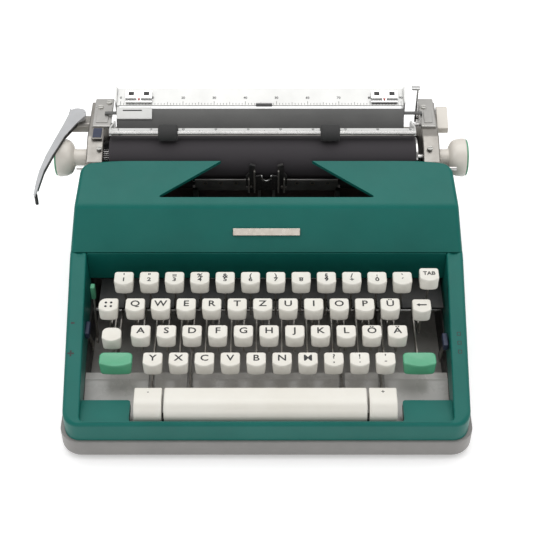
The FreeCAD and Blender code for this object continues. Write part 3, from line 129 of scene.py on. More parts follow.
@dataclass(frozen=True)
class Finish:
    """Surface of one material: two mixed colours, worn spots, roughness range and fine relief."""

    name: str
    colour: Colour
    second: Colour
    worn: Colour
    slot: str
    grain: Grain = Grain.MOULDED
    rough: Flat = (0.35, 0.5)
    metallic: float = 0.0
    coat: float = 0.0
    gloss: float = 0.5
    patch: float = 40.0
    grain_scale: float = 2500.0
    relief: float = 0.00002
    wear: float = 0.1
    stretch: Point = (1.0, 1.0, 1.0)

    def material(self) -> bpy.types.Material:
        """Return the node material of this finish, made once."""
        made = bpy.data.materials.get(self.name)
        return made if made else self._make()

    def _make(self) -> bpy.types.Material:
        """Build the node tree.

        Returns:
            The new material.
        """
        material = bpy.data.materials.new(self.name)
        material.use_nodes = True
        tree = material.node_tree
        shader = tree.nodes["Principled BSDF"]
        shader.inputs["Metallic"].default_value = self.metallic
        shader.inputs["Coat Weight"].default_value = self.coat
        shader.inputs["Coat Roughness"].default_value = 0.18
        shader.inputs["Specular IOR Level"].default_value = self.gloss
        place = tree.nodes.new("ShaderNodeTexCoord")
        mapping = tree.nodes.new("ShaderNodeMapping")
        mapping.inputs["Scale"].default_value = self.stretch
        tree.links.new(place.outputs["Object"], mapping.inputs["Vector"])
        where = mapping.outputs["Vector"]
        patches = self._noise(tree, where, self.patch, 5.0)
        tint = self._mix(tree, self._spread(tree, patches, 0.35, 0.65), self.colour, self.second)
        specks = self._noise(tree, where, self.patch * 9.0, 8.0)
        high = 0.72 - 0.25 * self.wear
        worn = self._mix(tree, self._spread(tree, specks, high, high + 0.12, self.wear), tint, self.worn)
        tree.links.new(worn, shader.inputs["Base Color"])
        smudges = self._noise(tree, where, self.patch * 2.6, 6.0)
        rough = self._spread(tree, smudges, 0.3, 0.7, self.rough[1], self.rough[0])
        tree.links.new(rough, shader.inputs["Roughness"])
        bump = tree.nodes.new("ShaderNodeBump")
        bump.inputs["Distance"].default_value = self.relief
        bump.inputs["Strength"].default_value = 0.8
        tree.links.new(self._relief(tree, where), bump.inputs["Height"])
        tree.links.new(bump.outputs["Normal"], shader.inputs["Normal"])
        return material

    def _noise(self, tree: bpy.types.NodeTree, where: bpy.types.NodeSocket, scale: float,
               detail: float) -> bpy.types.NodeSocket:
        """Return the value of a noise at a scale."""
        noise = tree.nodes.new("ShaderNodeTexNoise")
        noise.inputs["Scale"].default_value = scale
        noise.inputs["Detail"].default_value = detail
        noise.inputs["Roughness"].default_value = 0.6
        tree.links.new(where, noise.inputs["Vector"])
        return noise.outputs["Fac"]

    def _relief(self, tree: bpy.types.NodeTree, where: bpy.types.NodeSocket) -> bpy.types.NodeSocket:
        """Return the height of the fine grain.

        Args:
            tree: node tree of the material.
            where: coordinates of the pattern.

        Returns:
            Socket with the height.
        """
        if self.grain in (Grain.SPRAYED, Grain.MOULDED):
            return self._noise(tree, where, self.grain_scale, 3.0)
        if self.grain is Grain.WOVEN:
            wave = tree.nodes.new("ShaderNodeTexWave")
            wave.inputs["Scale"].default_value = self.grain_scale
            wave.inputs["Distortion"].default_value = 0.6
            tree.links.new(where, wave.inputs["Vector"])
            return wave.outputs["Fac"]
        if self.grain is Grain.BRUSHED:
            mapping = tree.nodes.new("ShaderNodeMapping")
            mapping.inputs["Scale"].default_value = (0.04, 1.0, 1.0)
            tree.links.new(where, mapping.inputs["Vector"])
            return self._noise(tree, mapping.outputs["Vector"], self.grain_scale, 4.0)
        cells = tree.nodes.new("ShaderNodeTexVoronoi")
        cells.feature = "SMOOTH_F1"
        cells.inputs["Scale"].default_value = self.grain_scale
        tree.links.new(where, cells.inputs["Vector"])
        return cells.outputs["Distance"]

    @staticmethod
    def _spread(tree: bpy.types.NodeTree, value: bpy.types.NodeSocket, low: float, high: float,
                top: float = 1.0, bottom: float = 0.0) -> bpy.types.NodeSocket:
        """Map the range low to high of a value to bottom to top."""
        spread = tree.nodes.new("ShaderNodeMapRange")
        spread.inputs["From Min"].default_value = low
        spread.inputs["From Max"].default_value = high
        spread.inputs["To Min"].default_value = bottom
        spread.inputs["To Max"].default_value = top
        tree.links.new(value, spread.inputs["Value"])
        return spread.outputs["Result"]

    @staticmethod
    def _mix(tree: bpy.types.NodeTree, share: bpy.types.NodeSocket, first: Colour | bpy.types.NodeSocket,
             second: Colour) -> bpy.types.NodeSocket:
        """Mix a colour, fixed or linked, with a second one."""
        mix = tree.nodes.new("ShaderNodeMix")
        mix.data_type = "RGBA"
        tree.links.new(share, mix.inputs["Factor"])
        if isinstance(first, bpy.types.NodeSocket):
            tree.links.new(first, mix.inputs["A"])
        else:
            mix.inputs["A"].default_value = (*first, 1.0)
        mix.inputs["B"].default_value = (*second, 1.0)
        return mix.outputs["Result"]


PAINT = Finish("green_enamel", (0.004, 0.116, 0.096), (0.006, 0.130, 0.108), (0.02, 0.18, 0.155),
               "green_paint", Grain.SPRAYED, (0.36, 0.46), coat=0.03, gloss=0.22, patch=22.0,
               grain_scale=1500.0,
               relief=0.00006, wear=0.12)
BASE = Finish("grey_hammer_enamel", (0.235, 0.225, 0.215), (0.205, 0.198, 0.19), (0.33, 0.31, 0.29),
              "base_grey", Grain.HAMMERED, (0.38, 0.5), coat=0.15, patch=30.0, grain_scale=420.0,
              relief=0.00009, wear=0.2)
PAN = Finish("pan_enamel", (0.47, 0.455, 0.435), (0.43, 0.415, 0.39), (0.34, 0.31, 0.27), "base_grey",
             Grain.SPRAYED, (0.22, 0.34), coat=0.3, patch=18.0, grain_scale=1300.0, relief=0.00003,
             wear=0.25)
CAP = Finish("cap_ivory", (0.74, 0.72, 0.66), (0.71, 0.685, 0.62), (0.60, 0.56, 0.46), "cap_white",
             Grain.MOULDED, (0.30, 0.42), coat=0.1, patch=60.0, grain_scale=2200.0, relief=0.000015,
             wear=0.12)
SPACE = Finish("space_bar_ivory", (0.73, 0.71, 0.65), (0.69, 0.665, 0.60), (0.57, 0.53, 0.43),
               "cap_white", Grain.MOULDED, (0.28, 0.4), coat=0.2, patch=26.0, grain_scale=1800.0,
               relief=0.00002, wear=0.18)
CAP_GREEN = Finish("cap_jade", (0.095, 0.375, 0.215), (0.082, 0.34, 0.19), (0.16, 0.46, 0.30),
                   "cap_green", Grain.MOULDED, (0.28, 0.4), coat=0.2, patch=55.0, grain_scale=2200.0,
                   relief=0.00002, wear=0.15)
DISC_GREEN = Finish("disc_jade", (0.07, 0.29, 0.16), (0.06, 0.25, 0.14), (0.13, 0.38, 0.24),
                    "lever_green", Grain.MOULDED, (0.3, 0.45), patch=70.0, grain_scale=2200.0)
INK = Finish("legend_ink", (0.012, 0.012, 0.013), (0.02, 0.02, 0.022), (0.06, 0.06, 0.06), "guard_dark",
             Grain.MOULDED, (0.45, 0.6), patch=300.0, wear=0.1)
SIGNAL = Finish("signal_red", (0.42, 0.025, 0.018), (0.36, 0.02, 0.015), (0.5, 0.1, 0.08), "lever_chrome",
                Grain.MOULDED, (0.4, 0.55), patch=200.0)
CHROME = Finish("bright_chrome", (0.78, 0.78, 0.77), (0.72, 0.72, 0.71), (0.5, 0.48, 0.45),
                "lever_chrome", Grain.BRUSHED, (0.12, 0.24), metallic=1.0, patch=35.0,
                grain_scale=1400.0, relief=0.00001, wear=0.12)
SCALE = Finish("satin_scale", (0.66, 0.66, 0.645), (0.60, 0.60, 0.585), (0.44, 0.41, 0.37),
               "scale_silver", Grain.BRUSHED, (0.34, 0.46), metallic=0.35, patch=30.0,
               grain_scale=1500.0, relief=0.00001, wear=0.15)
BLADE = Finish("polished_blade", (0.50, 0.505, 0.515), (0.44, 0.445, 0.455), (0.30, 0.29, 0.28),
               "lever_chrome", Grain.BRUSHED, (0.26, 0.38), metallic=0.45, patch=35.0,
               grain_scale=1400.0, relief=0.00001, wear=0.12)
TRIM = Finish("trim_nickel", (0.60, 0.55, 0.49), (0.52, 0.47, 0.41), (0.36, 0.31, 0.26), "badge_chrome",
              Grain.BRUSHED, (0.24, 0.36), metallic=1.0, patch=90.0, grain_scale=1800.0, wear=0.2)
CASTING = Finish("plated_casting", (0.36, 0.345, 0.32), (0.27, 0.255, 0.235), (0.62, 0.60, 0.57),
                 "carriage_silver", Grain.CAST, (0.28, 0.44), metallic=0.85, patch=45.0,
                 grain_scale=700.0, relief=0.00005, wear=0.25)
PLATE = Finish("end_plate_nickel", (0.50, 0.49, 0.47), (0.43, 0.42, 0.40), (0.28, 0.26, 0.23),
               "carriage_silver", Grain.BRUSHED, (0.26, 0.4), metallic=0.7, patch=40.0,
               grain_scale=1200.0, relief=0.00001, wear=0.3)
STEEL = Finish("blued_steel", (0.20, 0.195, 0.19), (0.13, 0.125, 0.12), (0.34, 0.29, 0.22), "frame_steel",
               Grain.CAST, (0.32, 0.5), metallic=0.85, patch=60.0, grain_scale=900.0, relief=0.00003,
               wear=0.35)
DARK_STEEL = Finish("dark_steel", (0.035, 0.035, 0.036), (0.05, 0.048, 0.046), (0.16, 0.14, 0.12),
                    "guard_dark", Grain.CAST, (0.35, 0.55), metallic=0.7, patch=80.0,
                    grain_scale=900.0, relief=0.00003, wear=0.3)
LEVER = Finish("key_lever_steel", (0.40, 0.375, 0.345), (0.27, 0.25, 0.225), (0.20, 0.145, 0.10),
               "type_steel", Grain.BRUSHED, (0.26, 0.42), metallic=0.95, patch=90.0,
               grain_scale=1600.0, relief=0.00002, wear=0.35)
TYPE = Finish("type_bar_steel", (0.33, 0.32, 0.31), (0.21, 0.20, 0.19), (0.13, 0.11, 0.09), "type_steel",
              Grain.BRUSHED, (0.25, 0.4), metallic=0.95, patch=120.0, grain_scale=2000.0, wear=0.3)
SHAFT = Finish("ground_shaft", (0.62, 0.61, 0.60), (0.52, 0.51, 0.50), (0.30, 0.27, 0.24), "shaft_steel",
               Grain.BRUSHED, (0.16, 0.3), metallic=1.0, patch=90.0, grain_scale=2200.0, wear=0.2)
SCREW = Finish("screw_steel", (0.58, 0.53, 0.44), (0.46, 0.41, 0.33), (0.24, 0.20, 0.15), "screw_steel",
               Grain.BRUSHED, (0.24, 0.4), metallic=1.0, patch=220.0, grain_scale=2600.0, wear=0.3)
BRASS = Finish("aged_brass", (0.50, 0.36, 0.16), (0.38, 0.26, 0.11), (0.20, 0.13, 0.07), "cup_brass",
               Grain.CAST, (0.28, 0.48), metallic=1.0, patch=75.0, grain_scale=1000.0, wear=0.35)
RUBBER = Finish("platen_rubber", (0.011, 0.011, 0.013), (0.016, 0.016, 0.018), (0.04, 0.039, 0.038),
                "platen_rubber", Grain.MOULDED, (0.5, 0.64), gloss=0.25, patch=28.0, grain_scale=1800.0,
                relief=0.00003, wear=0.2)
FEET = Finish("foot_rubber", (0.02, 0.02, 0.02), (0.03, 0.03, 0.03), (0.08, 0.075, 0.07), "feet_rubber",
              Grain.MOULDED, (0.7, 0.85), patch=90.0, grain_scale=1300.0, relief=0.00006, wear=0.3)
ROLLER = Finish("roller_rubber", (0.018, 0.018, 0.02), (0.028, 0.027, 0.028), (0.07, 0.065, 0.06),
                "roller_rubber", Grain.MOULDED, (0.42, 0.6), patch=120.0, grain_scale=2000.0, wear=0.2)
KNOB = Finish("knob_beige", (0.66, 0.635, 0.575), (0.62, 0.595, 0.53), (0.50, 0.46, 0.38), "knob_beige",
              Grain.MOULDED, (0.32, 0.45), coat=0.15, patch=50.0, grain_scale=1700.0, relief=0.00002,
              wear=0.2)
TABLE = Finish("table_grey_enamel", (0.105, 0.105, 0.102), (0.088, 0.088, 0.086), (0.2, 0.195, 0.19),
               "table_grey", Grain.SPRAYED, (0.34, 0.46), coat=0.15, patch=25.0, grain_scale=1400.0,
               relief=0.00005, wear=0.15)
BAR_GREY = Finish("bar_grey_enamel", (0.20, 0.20, 0.20), (0.165, 0.165, 0.165), (0.30, 0.27, 0.24),
                  "bar_grey", Grain.SPRAYED, (0.4, 0.55), patch=50.0, grain_scale=1300.0, wear=0.25)
NAVY = Finish("selector_navy", (0.02, 0.028, 0.06), (0.026, 0.034, 0.07), (0.1, 0.11, 0.15),
              "lever_dark", Grain.MOULDED, (0.36, 0.5), patch=140.0, wear=0.15)
RIBBON = Finish("inked_ribbon", (0.018, 0.012, 0.012), (0.05, 0.028, 0.02), (0.10, 0.05, 0.035),
                "ribbon_ink", Grain.WOVEN, (0.7, 0.85), patch=60.0, grain_scale=900.0, relief=0.00006,
                wear=0.3)
FLOOR = Finish("studio_floor", (0.90, 0.90, 0.90), (0.885, 0.885, 0.885), (0.87, 0.87, 0.87), "base_grey",
               Grain.MOULDED, (0.6, 0.7), patch=3.0, grain_scale=300.0, wear=0.05)


# ---------------------------------------------------------------- mesh work

class Maker:
    """One piece in the making: a bmesh with the few shapes that this machine needs."""

    def __init__(self) -> None:
        """Start with an empty mesh."""
        self.bm = bmesh.new()

    def _new(self, before: set[bmesh.types.BMVert], mark: int) -> list[bmesh.types.BMVert]:
        """Give the faces of new vertices their finish, and return those vertices."""
        fresh = [vert for vert in self.bm.verts if vert not in before]
        for face in {face for vert in fresh for face in vert.link_faces}:
            face.material_index = mark
        return fresh

    def block(self, low: Sequence[float], high: Sequence[float], mark: int = 0) -> list[bmesh.types.BMVert]:
        """Add a box between two corners."""
        before = set(self.bm.verts)
        made = bmesh.ops.create_cube(self.bm, size=1.0)["verts"]
        bmesh.ops.scale(self.bm, vec=Vector(high) - Vector(low), verts=made)
        bmesh.ops.translate(self.bm, vec=(Vector(high) + Vector(low)) / 2, verts=made)
        return self._new(before, mark)

    def rod(self, axis: Axis, radius: float, start: float, end: float, centre: Flat, mark: int = 0,
            sides: int = 32) -> list[bmesh.types.BMVert]:
        """Add a round bar along an axis.

        Args:
            axis: direction of the bar.
            radius: radius of the bar.
            start: where it starts along the axis.
            end: where it ends.
            centre: the two other measures of its middle line, in the order of Axis.point.
            mark: index of its finish.
            sides: how many sides it has.

        Returns:
            The new vertices.
        """
        before = set(self.bm.verts)
        made = bmesh.ops.create_cone(self.bm, cap_ends=True, cap_tris=False, segments=sides,
                                     radius1=radius, radius2=radius, depth=abs(end - start))["verts"]
        stand = Matrix.Rotation(math.pi / 2, 3, "Y")
        bmesh.ops.rotate(self.bm, verts=made, cent=(0, 0, 0), matrix=axis.turn() @ stand)
        bmesh.ops.translate(self.bm, verts=made, vec=axis.point(*centre, (start + end) / 2))
        return self._new(before, mark)

    def turned(self, axis: Axis, profile: Sequence[Flat], centre: Flat, mark: int = 0,
               steps: int = 64) -> list[bmesh.types.BMVert]:
        """Turn a profile of measures along the axis and radii into a round piece.

        Args:
            axis: axis of the lathe.
            profile: pairs of a measure along the axis and a radius, closed by its first point.
            centre: the two other measures of the axis.
            mark: index of its finish.
            steps: how many steps make the full turn.

        Returns:
            The new vertices.
        """
        before = set(self.bm.verts)
        verts = [self.bm.verts.new((along, radius, 0.0)) for along, radius in profile]
        edges = [self.bm.edges.new(pair) for pair in zip(verts, verts[1:] + verts[:1])]
        bmesh.ops.spin(self.bm, geom=verts + edges, cent=(0, 0, 0), axis=(1, 0, 0), angle=math.tau,
                       steps=steps, use_merge=True, use_duplicate=False)
        fresh = self._new(before, mark)
        bmesh.ops.rotate(self.bm, verts=fresh, cent=(0, 0, 0), matrix=axis.turn())
        bmesh.ops.translate(self.bm, verts=fresh, vec=axis.point(*centre, 0.0))
        return fresh

    def prism(self, axis: Axis, outline: Sequence[Flat], start: float, end: float,
              mark: int = 0) -> list[bmesh.types.BMVert]:
        """Draw an outline out along an axis, from start to end."""
        before = set(self.bm.verts)
        face = self.bm.faces.new([self.bm.verts.new(axis.point(*spot, start)) for spot in outline])
        grown = bmesh.ops.extrude_face_region(self.bm, geom=[face])["geom"]
        lifted = [item for item in grown if isinstance(item, bmesh.types.BMVert)]
        bmesh.ops.translate(self.bm, verts=lifted, vec=axis.point(0.0, 0.0, end - start))
        return self._new(before, mark)

    def skin(self, rings: Sequence[Sequence[Point]], mark: int = 0, closed: bool = False,
             caps: bool = False) -> list[bmesh.types.BMVert]:
        """Grow a surface from ring to ring of points.

        Args:
            rings: rings with the same number of points each.
            mark: index of its finish.
            closed: whether the last ring joins the first one.
            caps: whether the first and the last ring get a face.

        Returns:
            The new vertices.
        """
        before = set(self.bm.verts)
        ring = [self.bm.verts.new(spot) for spot in rings[0]]
        edges = [self.bm.edges.new(pair) for pair in zip(ring, ring[1:] + ring[:1])]
        first = list(edges)
        if caps:
            self.bm.faces.new(ring)
        for spots in rings[1:]:
            order = {tuple(vert.co): number for number, vert in enumerate(ring)}
            grown = bmesh.ops.extrude_edge_only(self.bm, edges=edges)["geom"]
            verts = [item for item in grown if isinstance(item, bmesh.types.BMVert)]
            edges = [item for item in grown if isinstance(item, bmesh.types.BMEdge)]
            ring = sorted(verts, key=lambda vert: order[tuple(vert.co)])
            for vert, spot in zip(ring, spots):
                vert.co = spot
        if caps:
            self.bm.faces.new(ring)
        if closed:
            bmesh.ops.bridge_loops(self.bm, edges=edges + first)
        return self._new(before, mark)

    def soften(self, verts: Sequence[bmesh.types.BMVert], by: float, segments: int = 3,
               chosen: Callable[[bmesh.types.BMEdge], bool] = lambda edge: True) -> None:
        """Round the chosen edges of some vertices."""
        edges = {edge for vert in verts if vert.is_valid for edge in vert.link_edges}
        bmesh.ops.bevel(self.bm, geom=[edge for edge in edges if chosen(edge)], offset=by,
                        offset_type="OFFSET", segments=segments, profile=0.5, affect="EDGES",
                        clamp_overlap=True, material=-1)

    def cut(self, spot: Point, normal: Point) -> None:
        """Cut every face along a plane."""
        everything = self.bm.verts[:] + self.bm.edges[:] + self.bm.faces[:]
        bmesh.ops.bisect_plane(self.bm, geom=everything, dist=0.0005, plane_co=spot, plane_no=normal)

    def drop(self, unwanted: Callable[[bmesh.types.BMFace], bool]) -> None:
        """Delete the faces that a test picks."""
        faces = [face for face in self.bm.faces if unwanted(face)]
        bmesh.ops.delete(self.bm, geom=faces, context="FACES")

    def write(self, words: str, height: float, spot: Point, mark: int = 0, lean: float = 0.0,
              ground: BVHTree | None = None, bold: float = 0.08, width: float = 1.0) -> None:
        """Add raised lettering, centred on a spot.

        Args:
            words: one line of generic lettering.
            height: size of the letters.
            spot: middle of the line.
            mark: index of its finish.
            lean: angle by which the line leans back about x, in radians.
            ground: surface that the lettering follows.
            bold: how much every stroke grows outwards.
            width: stretch of the letters along the line.
        """
        curve = bpy.data.curves.new("lettering", "FONT")
        curve.body = words
        curve.size = height
        curve.extrude = 0.025
        curve.offset = bold
        curve.resolution_u = 3
        curve.align_x = "CENTER"
        curve.align_y = "CENTER"
        holder = bpy.data.objects.new("lettering", curve)
        bpy.context.scene.collection.objects.link(holder)
        bpy.context.view_layer.update()
        mesh = bpy.data.meshes.new_from_object(holder.evaluated_get(bpy.context.evaluated_depsgraph_get()))
        bpy.data.objects.remove(holder)
        before = set(self.bm.verts)
        self.bm.from_mesh(mesh)
        bpy.data.meshes.remove(mesh)
        fresh = self._new(before, mark)
        bmesh.ops.scale(self.bm, vec=(width, 1.0, 1.0), verts=fresh)
        bmesh.ops.rotate(self.bm, verts=fresh, cent=(0, 0, 0), matrix=Matrix.Rotation(lean, 3, "X"))
        bmesh.ops.translate(self.bm, verts=fresh, vec=spot)
        if ground is None:
            return
        for vert in fresh:
            hit = ground.ray_cast(Vector((vert.co.x, vert.co.y, spot[2] + 20.0)), Vector((0, 0, -1)))[0]
            if hit is not None:
                vert.co.z = hit.z + 0.05 + (vert.co.z - spot[2])

    def done(self, name: str, body: str, finishes: Sequence[Finish], replaces: Sequence[str] = (),
             edge: float = 0.0, wall: float = 0.0, sharp: float = 35.0) -> bpy.types.Object:
        """Make the piece an object in the frame's place and let it ride on its body.

        Args:
            name: name of the piece.
            body: body that it moves with.
            finishes: its finishes, in the order of their marks.
            replaces: nodes that it stands for.
            edge: width of the rounding on every sharp edge.
            wall: thickness that an open skin grows inwards.
            sharp: angle in degrees above which an edge stays sharp.

        Returns:
            The new object.
        """
        bmesh.ops.remove_doubles(self.bm, verts=self.bm.verts[:], dist=0.0008)
        bmesh.ops.recalc_face_normals(self.bm, faces=self.bm.faces[:])
        bmesh.ops.transform(self.bm, matrix=BENCH.to_frame(), verts=self.bm.verts[:])
        mesh = bpy.data.meshes.new(name)
        for face in self.bm.faces:
            face.smooth = True
        self.bm.to_mesh(mesh)
        self.bm.free()
        mesh.set_sharp_from_angle(angle=math.radians(sharp))
        piece = bpy.data.objects.new(name, mesh)
        bpy.context.scene.collection.objects.link(piece)
        for finish in finishes:
            mesh.materials.append(finish.material())
        if wall:
            thick = piece.modifiers.new("wall", "SOLIDIFY")
            thick.thickness = wall * METRE
            thick.offset = -1.0
        if edge:
            bevel = piece.modifiers.new("edge", "BEVEL")
            bevel.width = edge * METRE
            bevel.segments = 2
            bevel.limit_method = "ANGLE"
            bevel.angle_limit = math.radians(sharp)
        even = piece.modifiers.new("even", "WEIGHTED_NORMAL")
        even.keep_sharp = not edge
        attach(piece, body)
        if replaces:
            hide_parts(*replaces)
        LOG.info("made %s on %s, %d faces", name, body, len(mesh.polygons))
        return piece


def dress(finish: Finish, *nodes: str) -> None:
    """Give carried-over nodes a finish."""
    for node in nodes:
        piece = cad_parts[node]
        for number in range(max(1, len(piece.data.materials))):
            if number < len(piece.data.materials):
                piece.data.materials[number] = finish.material()
            else:
                piece.data.materials.append(finish.material())
        LOG.info("dressed %s in %s", node, finish.name)


def plan_loop(low: Flat, high: Flat, radius: float, sides: tuple[int, int], corner: int) -> list[Flat]:
    """Points of a rounded rectangle seen from above.

    Args:
        low: front left corner.
        high: back right corner.
        radius: radius of the corners.
        sides: how many steps the sides along x and along y have.
        corner: how many steps each corner has.

    Returns:
        The points, anticlockwise from the front left.
    """
    inner = ((low[0] + radius, low[1] + radius), (high[0] - radius, low[1] + radius),
             (high[0] - radius, high[1] - radius), (low[0] + radius, high[1] - radius))
    loop: list[Flat] = []
    for number, (x, y) in enumerate(inner):
        start = math.pi * (1.0 + 0.5 * number)
        arc = [(x + radius * math.cos(start + 0.5 * math.pi * step / corner),
                y + radius * math.sin(start + 0.5 * math.pi * step / corner))
               for step in range(corner + 1)]
        loop += arc
        following = inner[(number + 1) % 4]
        turn = start + 0.5 * math.pi
        target = (following[0] + radius * math.cos(turn), following[1] + radius * math.sin(turn))
        count = sides[number % 2]
        for step in range(1, count):
            share = step / count
            loop.append((arc[-1][0] + share * (target[0] - arc[-1][0]),
                         arc[-1][1] + share * (target[1] - arc[-1][1])))
    return loop


def arc(centre: Flat, radius: float, start: float, end: float, steps: int) -> list[Flat]:
    """Points on an arc between two angles in degrees."""
    angles = [math.radians(start + (end - start) * step / steps) for step in range(steps + 1)]
    return [(centre[0] + radius * math.cos(angle), centre[1] + radius * math.sin(angle))
            for angle in angles]


# ---------------------------------------------------------------- housing

@dataclass
class Housing:
    """Painted shell, grey base with its pan, feet and the marks engraved in the side rails."""

    shell: Span = field(default_factory=lambda: BENCH.span("body_shell"))
    base: Span = field(default_factory=lambda: BENCH.span("base_pan"))
    lip_top: float = 38.5
    rail_back: Flat = (130.0, 84.0)
    fall: Flat = (235.0, 298.0)
    tail: float = 45.0
    rail_width: float = 12.7
    flare: Flat = (0.99, 1.01)
    front_width: float = 3.6
    back_opening: float = 262.0
    outer_round: float = 3.0
    inner_round: float = 1.6
    wall: float = 2.5
    lining: float = 1.5
    lining_low: float = 30.0
    outer_corner: float = 12.0
    inner_corner: float = 3.4

    def top(self, y: float) -> float:
        """Height of the shell at a distance from the front lip."""
        if y <= 3.0:
            return self.lip_top
        if y <= self.rail_back[0]:
            share = (y - 3.0) / (self.rail_back[0] - 3.0)
            return self.lip_top + share * (self.rail_back[1] - self.lip_top)
        if y <= self.fall[0]:
            return self.rail_back[1]
        share = (y - self.fall[0]) / (self.fall[1] - self.fall[0])
        return self.rail_back[1] + share * (self.tail - self.rail_back[1])

    def widen(self, spot: Flat) -> Flat:
        """Move a point so that the shell is a little narrower in front than behind the keys."""
        front, back = self.flare
        share = min(1.0, max(0.0, spot[1] / self.rail_back[0]))
        return (spot[0] * (front + (back - front) * share), spot[1])

    def loop(self, inset: float, inner: bool) -> list[Flat]:
        """Loop of the shell seen from above: the outside, or the opening, moved inwards."""
        if inner:
            low = (self.shell.low.x + self.rail_width + inset, self.front_width + inset)
            high = (self.shell.high.x - self.rail_width - inset, self.back_opening - inset)
            corner = max(0.6, self.inner_corner - inset)
        else:
            low = (self.shell.low.x + inset, self.shell.low.y + inset)
            high = (self.shell.high.x - inset, self.shell.high.y - inset)
            corner = max(0.6, self.outer_corner - inset)
        return [self.widen(spot) for spot in plan_loop(low, high, corner, (24, 60), 8)]

    def build_shell(self) -> None:
        """Shell with rounded rails, lining, corner platforms and the back wall of the recess."""
        maker = Maker()
        seam = self.shell.low.z
        rings: list[list[Point]] = [[(x, y, seam) for x, y in self.loop(0.0, False)]]
        steps = 5
        for step in range(steps + 1):
            angle = 0.5 * math.pi * step / steps
            inset = self.outer_round * (1.0 - math.cos(angle))
            sink = self.outer_round * (1.0 - math.sin(angle))
            rings.append([(x, y, self.top(y) - sink) for x, y in self.loop(inset, False)])
        for step in range(steps + 1):
            angle = 0.5 * math.pi * step / steps
            inset = -self.inner_round * (1.0 - math.sin(angle))
            sink = self.inner_round * (1.0 - math.cos(angle))
            rings.append([(x, y, self.top(y) - sink) for x, y in self.loop(inset, True)])
        rings.append([(x, y, self.lining_low) for x, y in self.loop(0.0, True)])
        rings.append([(x, y, self.lining_low) for x, y in self.loop(-self.lining, True)])
        rings.append([(x, y, self.top(y) - self.wall) for x, y in self.loop(-self.lining, True)])
        rings.append([(x, y, self.top(y) - self.wall) for x, y in self.loop(self.wall, False)])
        rings.append([(x, y, seam) for x, y in self.loop(self.wall, False)])
        maker.skin(rings, closed=True)
        side = self.shell.high.x - self.rail_width + 0.6
        for sign in (-1.0, 1.0):
            self._platform(maker, sign, side - 0.6)
        wall = maker.block((-side - 0.8, self.rail_back[0], 56.5),
                           (side + 0.8, self.rail_back[0] + self.wall, self.rail_back[1] - 0.6))
        maker.soften(wall, 0.6, 2)
        maker.done("shell", "frame", [PAINT], ["body_shell"])

    def _platform(self, maker: Maker, sign: float, side: float) -> None:
        """Flat platform that fills one front corner of the keyboard opening."""
        inner, back, front, corner = 100.0, 25.0, self.front_width - 1.0, 2.2
        outline = [(side, front), (inner - 4.5, front)]
        outline += arc((inner - 4.5, front + 5.5), 4.5, -90.0, 0.0, 5)
        outline += arc((inner + corner, back - corner), corner, 180.0, 90.0, 4)
        outline += [(side, back)]
        top = self.lip_top - 3.0
        maker.prism(Axis.Z, [(sign * x, y) for x, y in outline], top - 7.0, top)

    def build_base(self) -> None:
        """Grey base: rounded underside, ledge under the seam, bright pan inside."""
        maker = Maker()
        low, high = self.base.low, self.base.high
        corner, roll, floor = 16.0, 4.2, 2.0

        def ring(inset: float, z: float) -> list[Point]:
            """One loop of the base at a height."""
            spots = plan_loop((low.x + inset, low.y + inset), (high.x - inset, high.y - inset),
                              max(1.0, corner - inset), (12, 12), 10)
            return [(x, y, z) for x, y in spots]

        rings = [ring(roll + 4.0, floor)]
        for step in range(7):
            angle = 0.5 * math.pi * step / 6
            rings.append(ring(roll * (1.0 - math.sin(angle)), floor + roll * (1.0 - math.cos(angle))))
        rings += [ring(0.0, high.z - 1.2), ring(0.35, high.z - 0.35), ring(1.2, high.z)]
        rings += [ring(3.0, high.z), ring(3.0, low.z + 9.0)]
        split = len(rings) - 1
        for step in range(1, 5):
            angle = 0.5 * math.pi * step / 4
            rings.append(ring(3.0 + 5.0 * (1.0 - math.cos(angle)),
                              low.z + 3.0 + 6.0 * (1.0 - math.sin(angle))))
        maker.skin(rings[:split + 1])
        maker.skin(rings[split:], mark=1)
        maker.bm.faces.new([maker.bm.verts.new(spot) for spot in rings[0]])
        pan = maker.bm.faces.new([maker.bm.verts.new(spot) for spot in rings[-1]])
        pan.material_index = 1
        maker.done("base", "frame", [BASE, PAN], ["base_pan"])

    def build_marks(self) -> None:
        """Signs on the left rail and three small engraved squares on the right one."""
        slope = math.atan2(self.rail_back[1] - self.lip_top, self.rail_back[0] - 3.0)
        x = self.shell.high.x - 0.5 * self.rail_width
        ink = Maker()
        for sign, y in (("-", 76.0), ("+", 52.0)):
            ink.write(sign, 9.0, (-x - 1.6, y, self.top(y) + 0.02), lean=slope, bold=0.28)
        ink.done("rail_signs", "frame", [INK])
        squares = Maker()
        for y in (67.1, 60.4, 53.7):
            for low, high in (((-1.5, -1.5), (1.5, -1.0)), ((-1.5, 1.0), (1.5, 1.5)),
                              ((-1.5, -1.0), (-1.0, 1.0)), ((1.0, -1.0), (1.5, 1.0))):
                fresh = squares.block((low[0], low[1], -0.2), (high[0], high[1], 0.03))
                bmesh.ops.rotate(squares.bm, verts=fresh, cent=(0, 0, 0),
                                 matrix=Matrix.Rotation(slope, 3, "X"))
                bmesh.ops.translate(squares.bm, verts=fresh, vec=(x, y, self.top(y)))
        squares.done("rail_squares", "frame", [INK])

    def dress(self) -> None:
        """Finishes of the small carried-over pieces."""
        dress(FEET, "rubber_feet")
        dress(SCREW, "case_screws")

    def build(self) -> None:
        """Make and dress the housing."""
        self.build_shell()
        self.build_base()
        self.build_marks()
        self.dress()


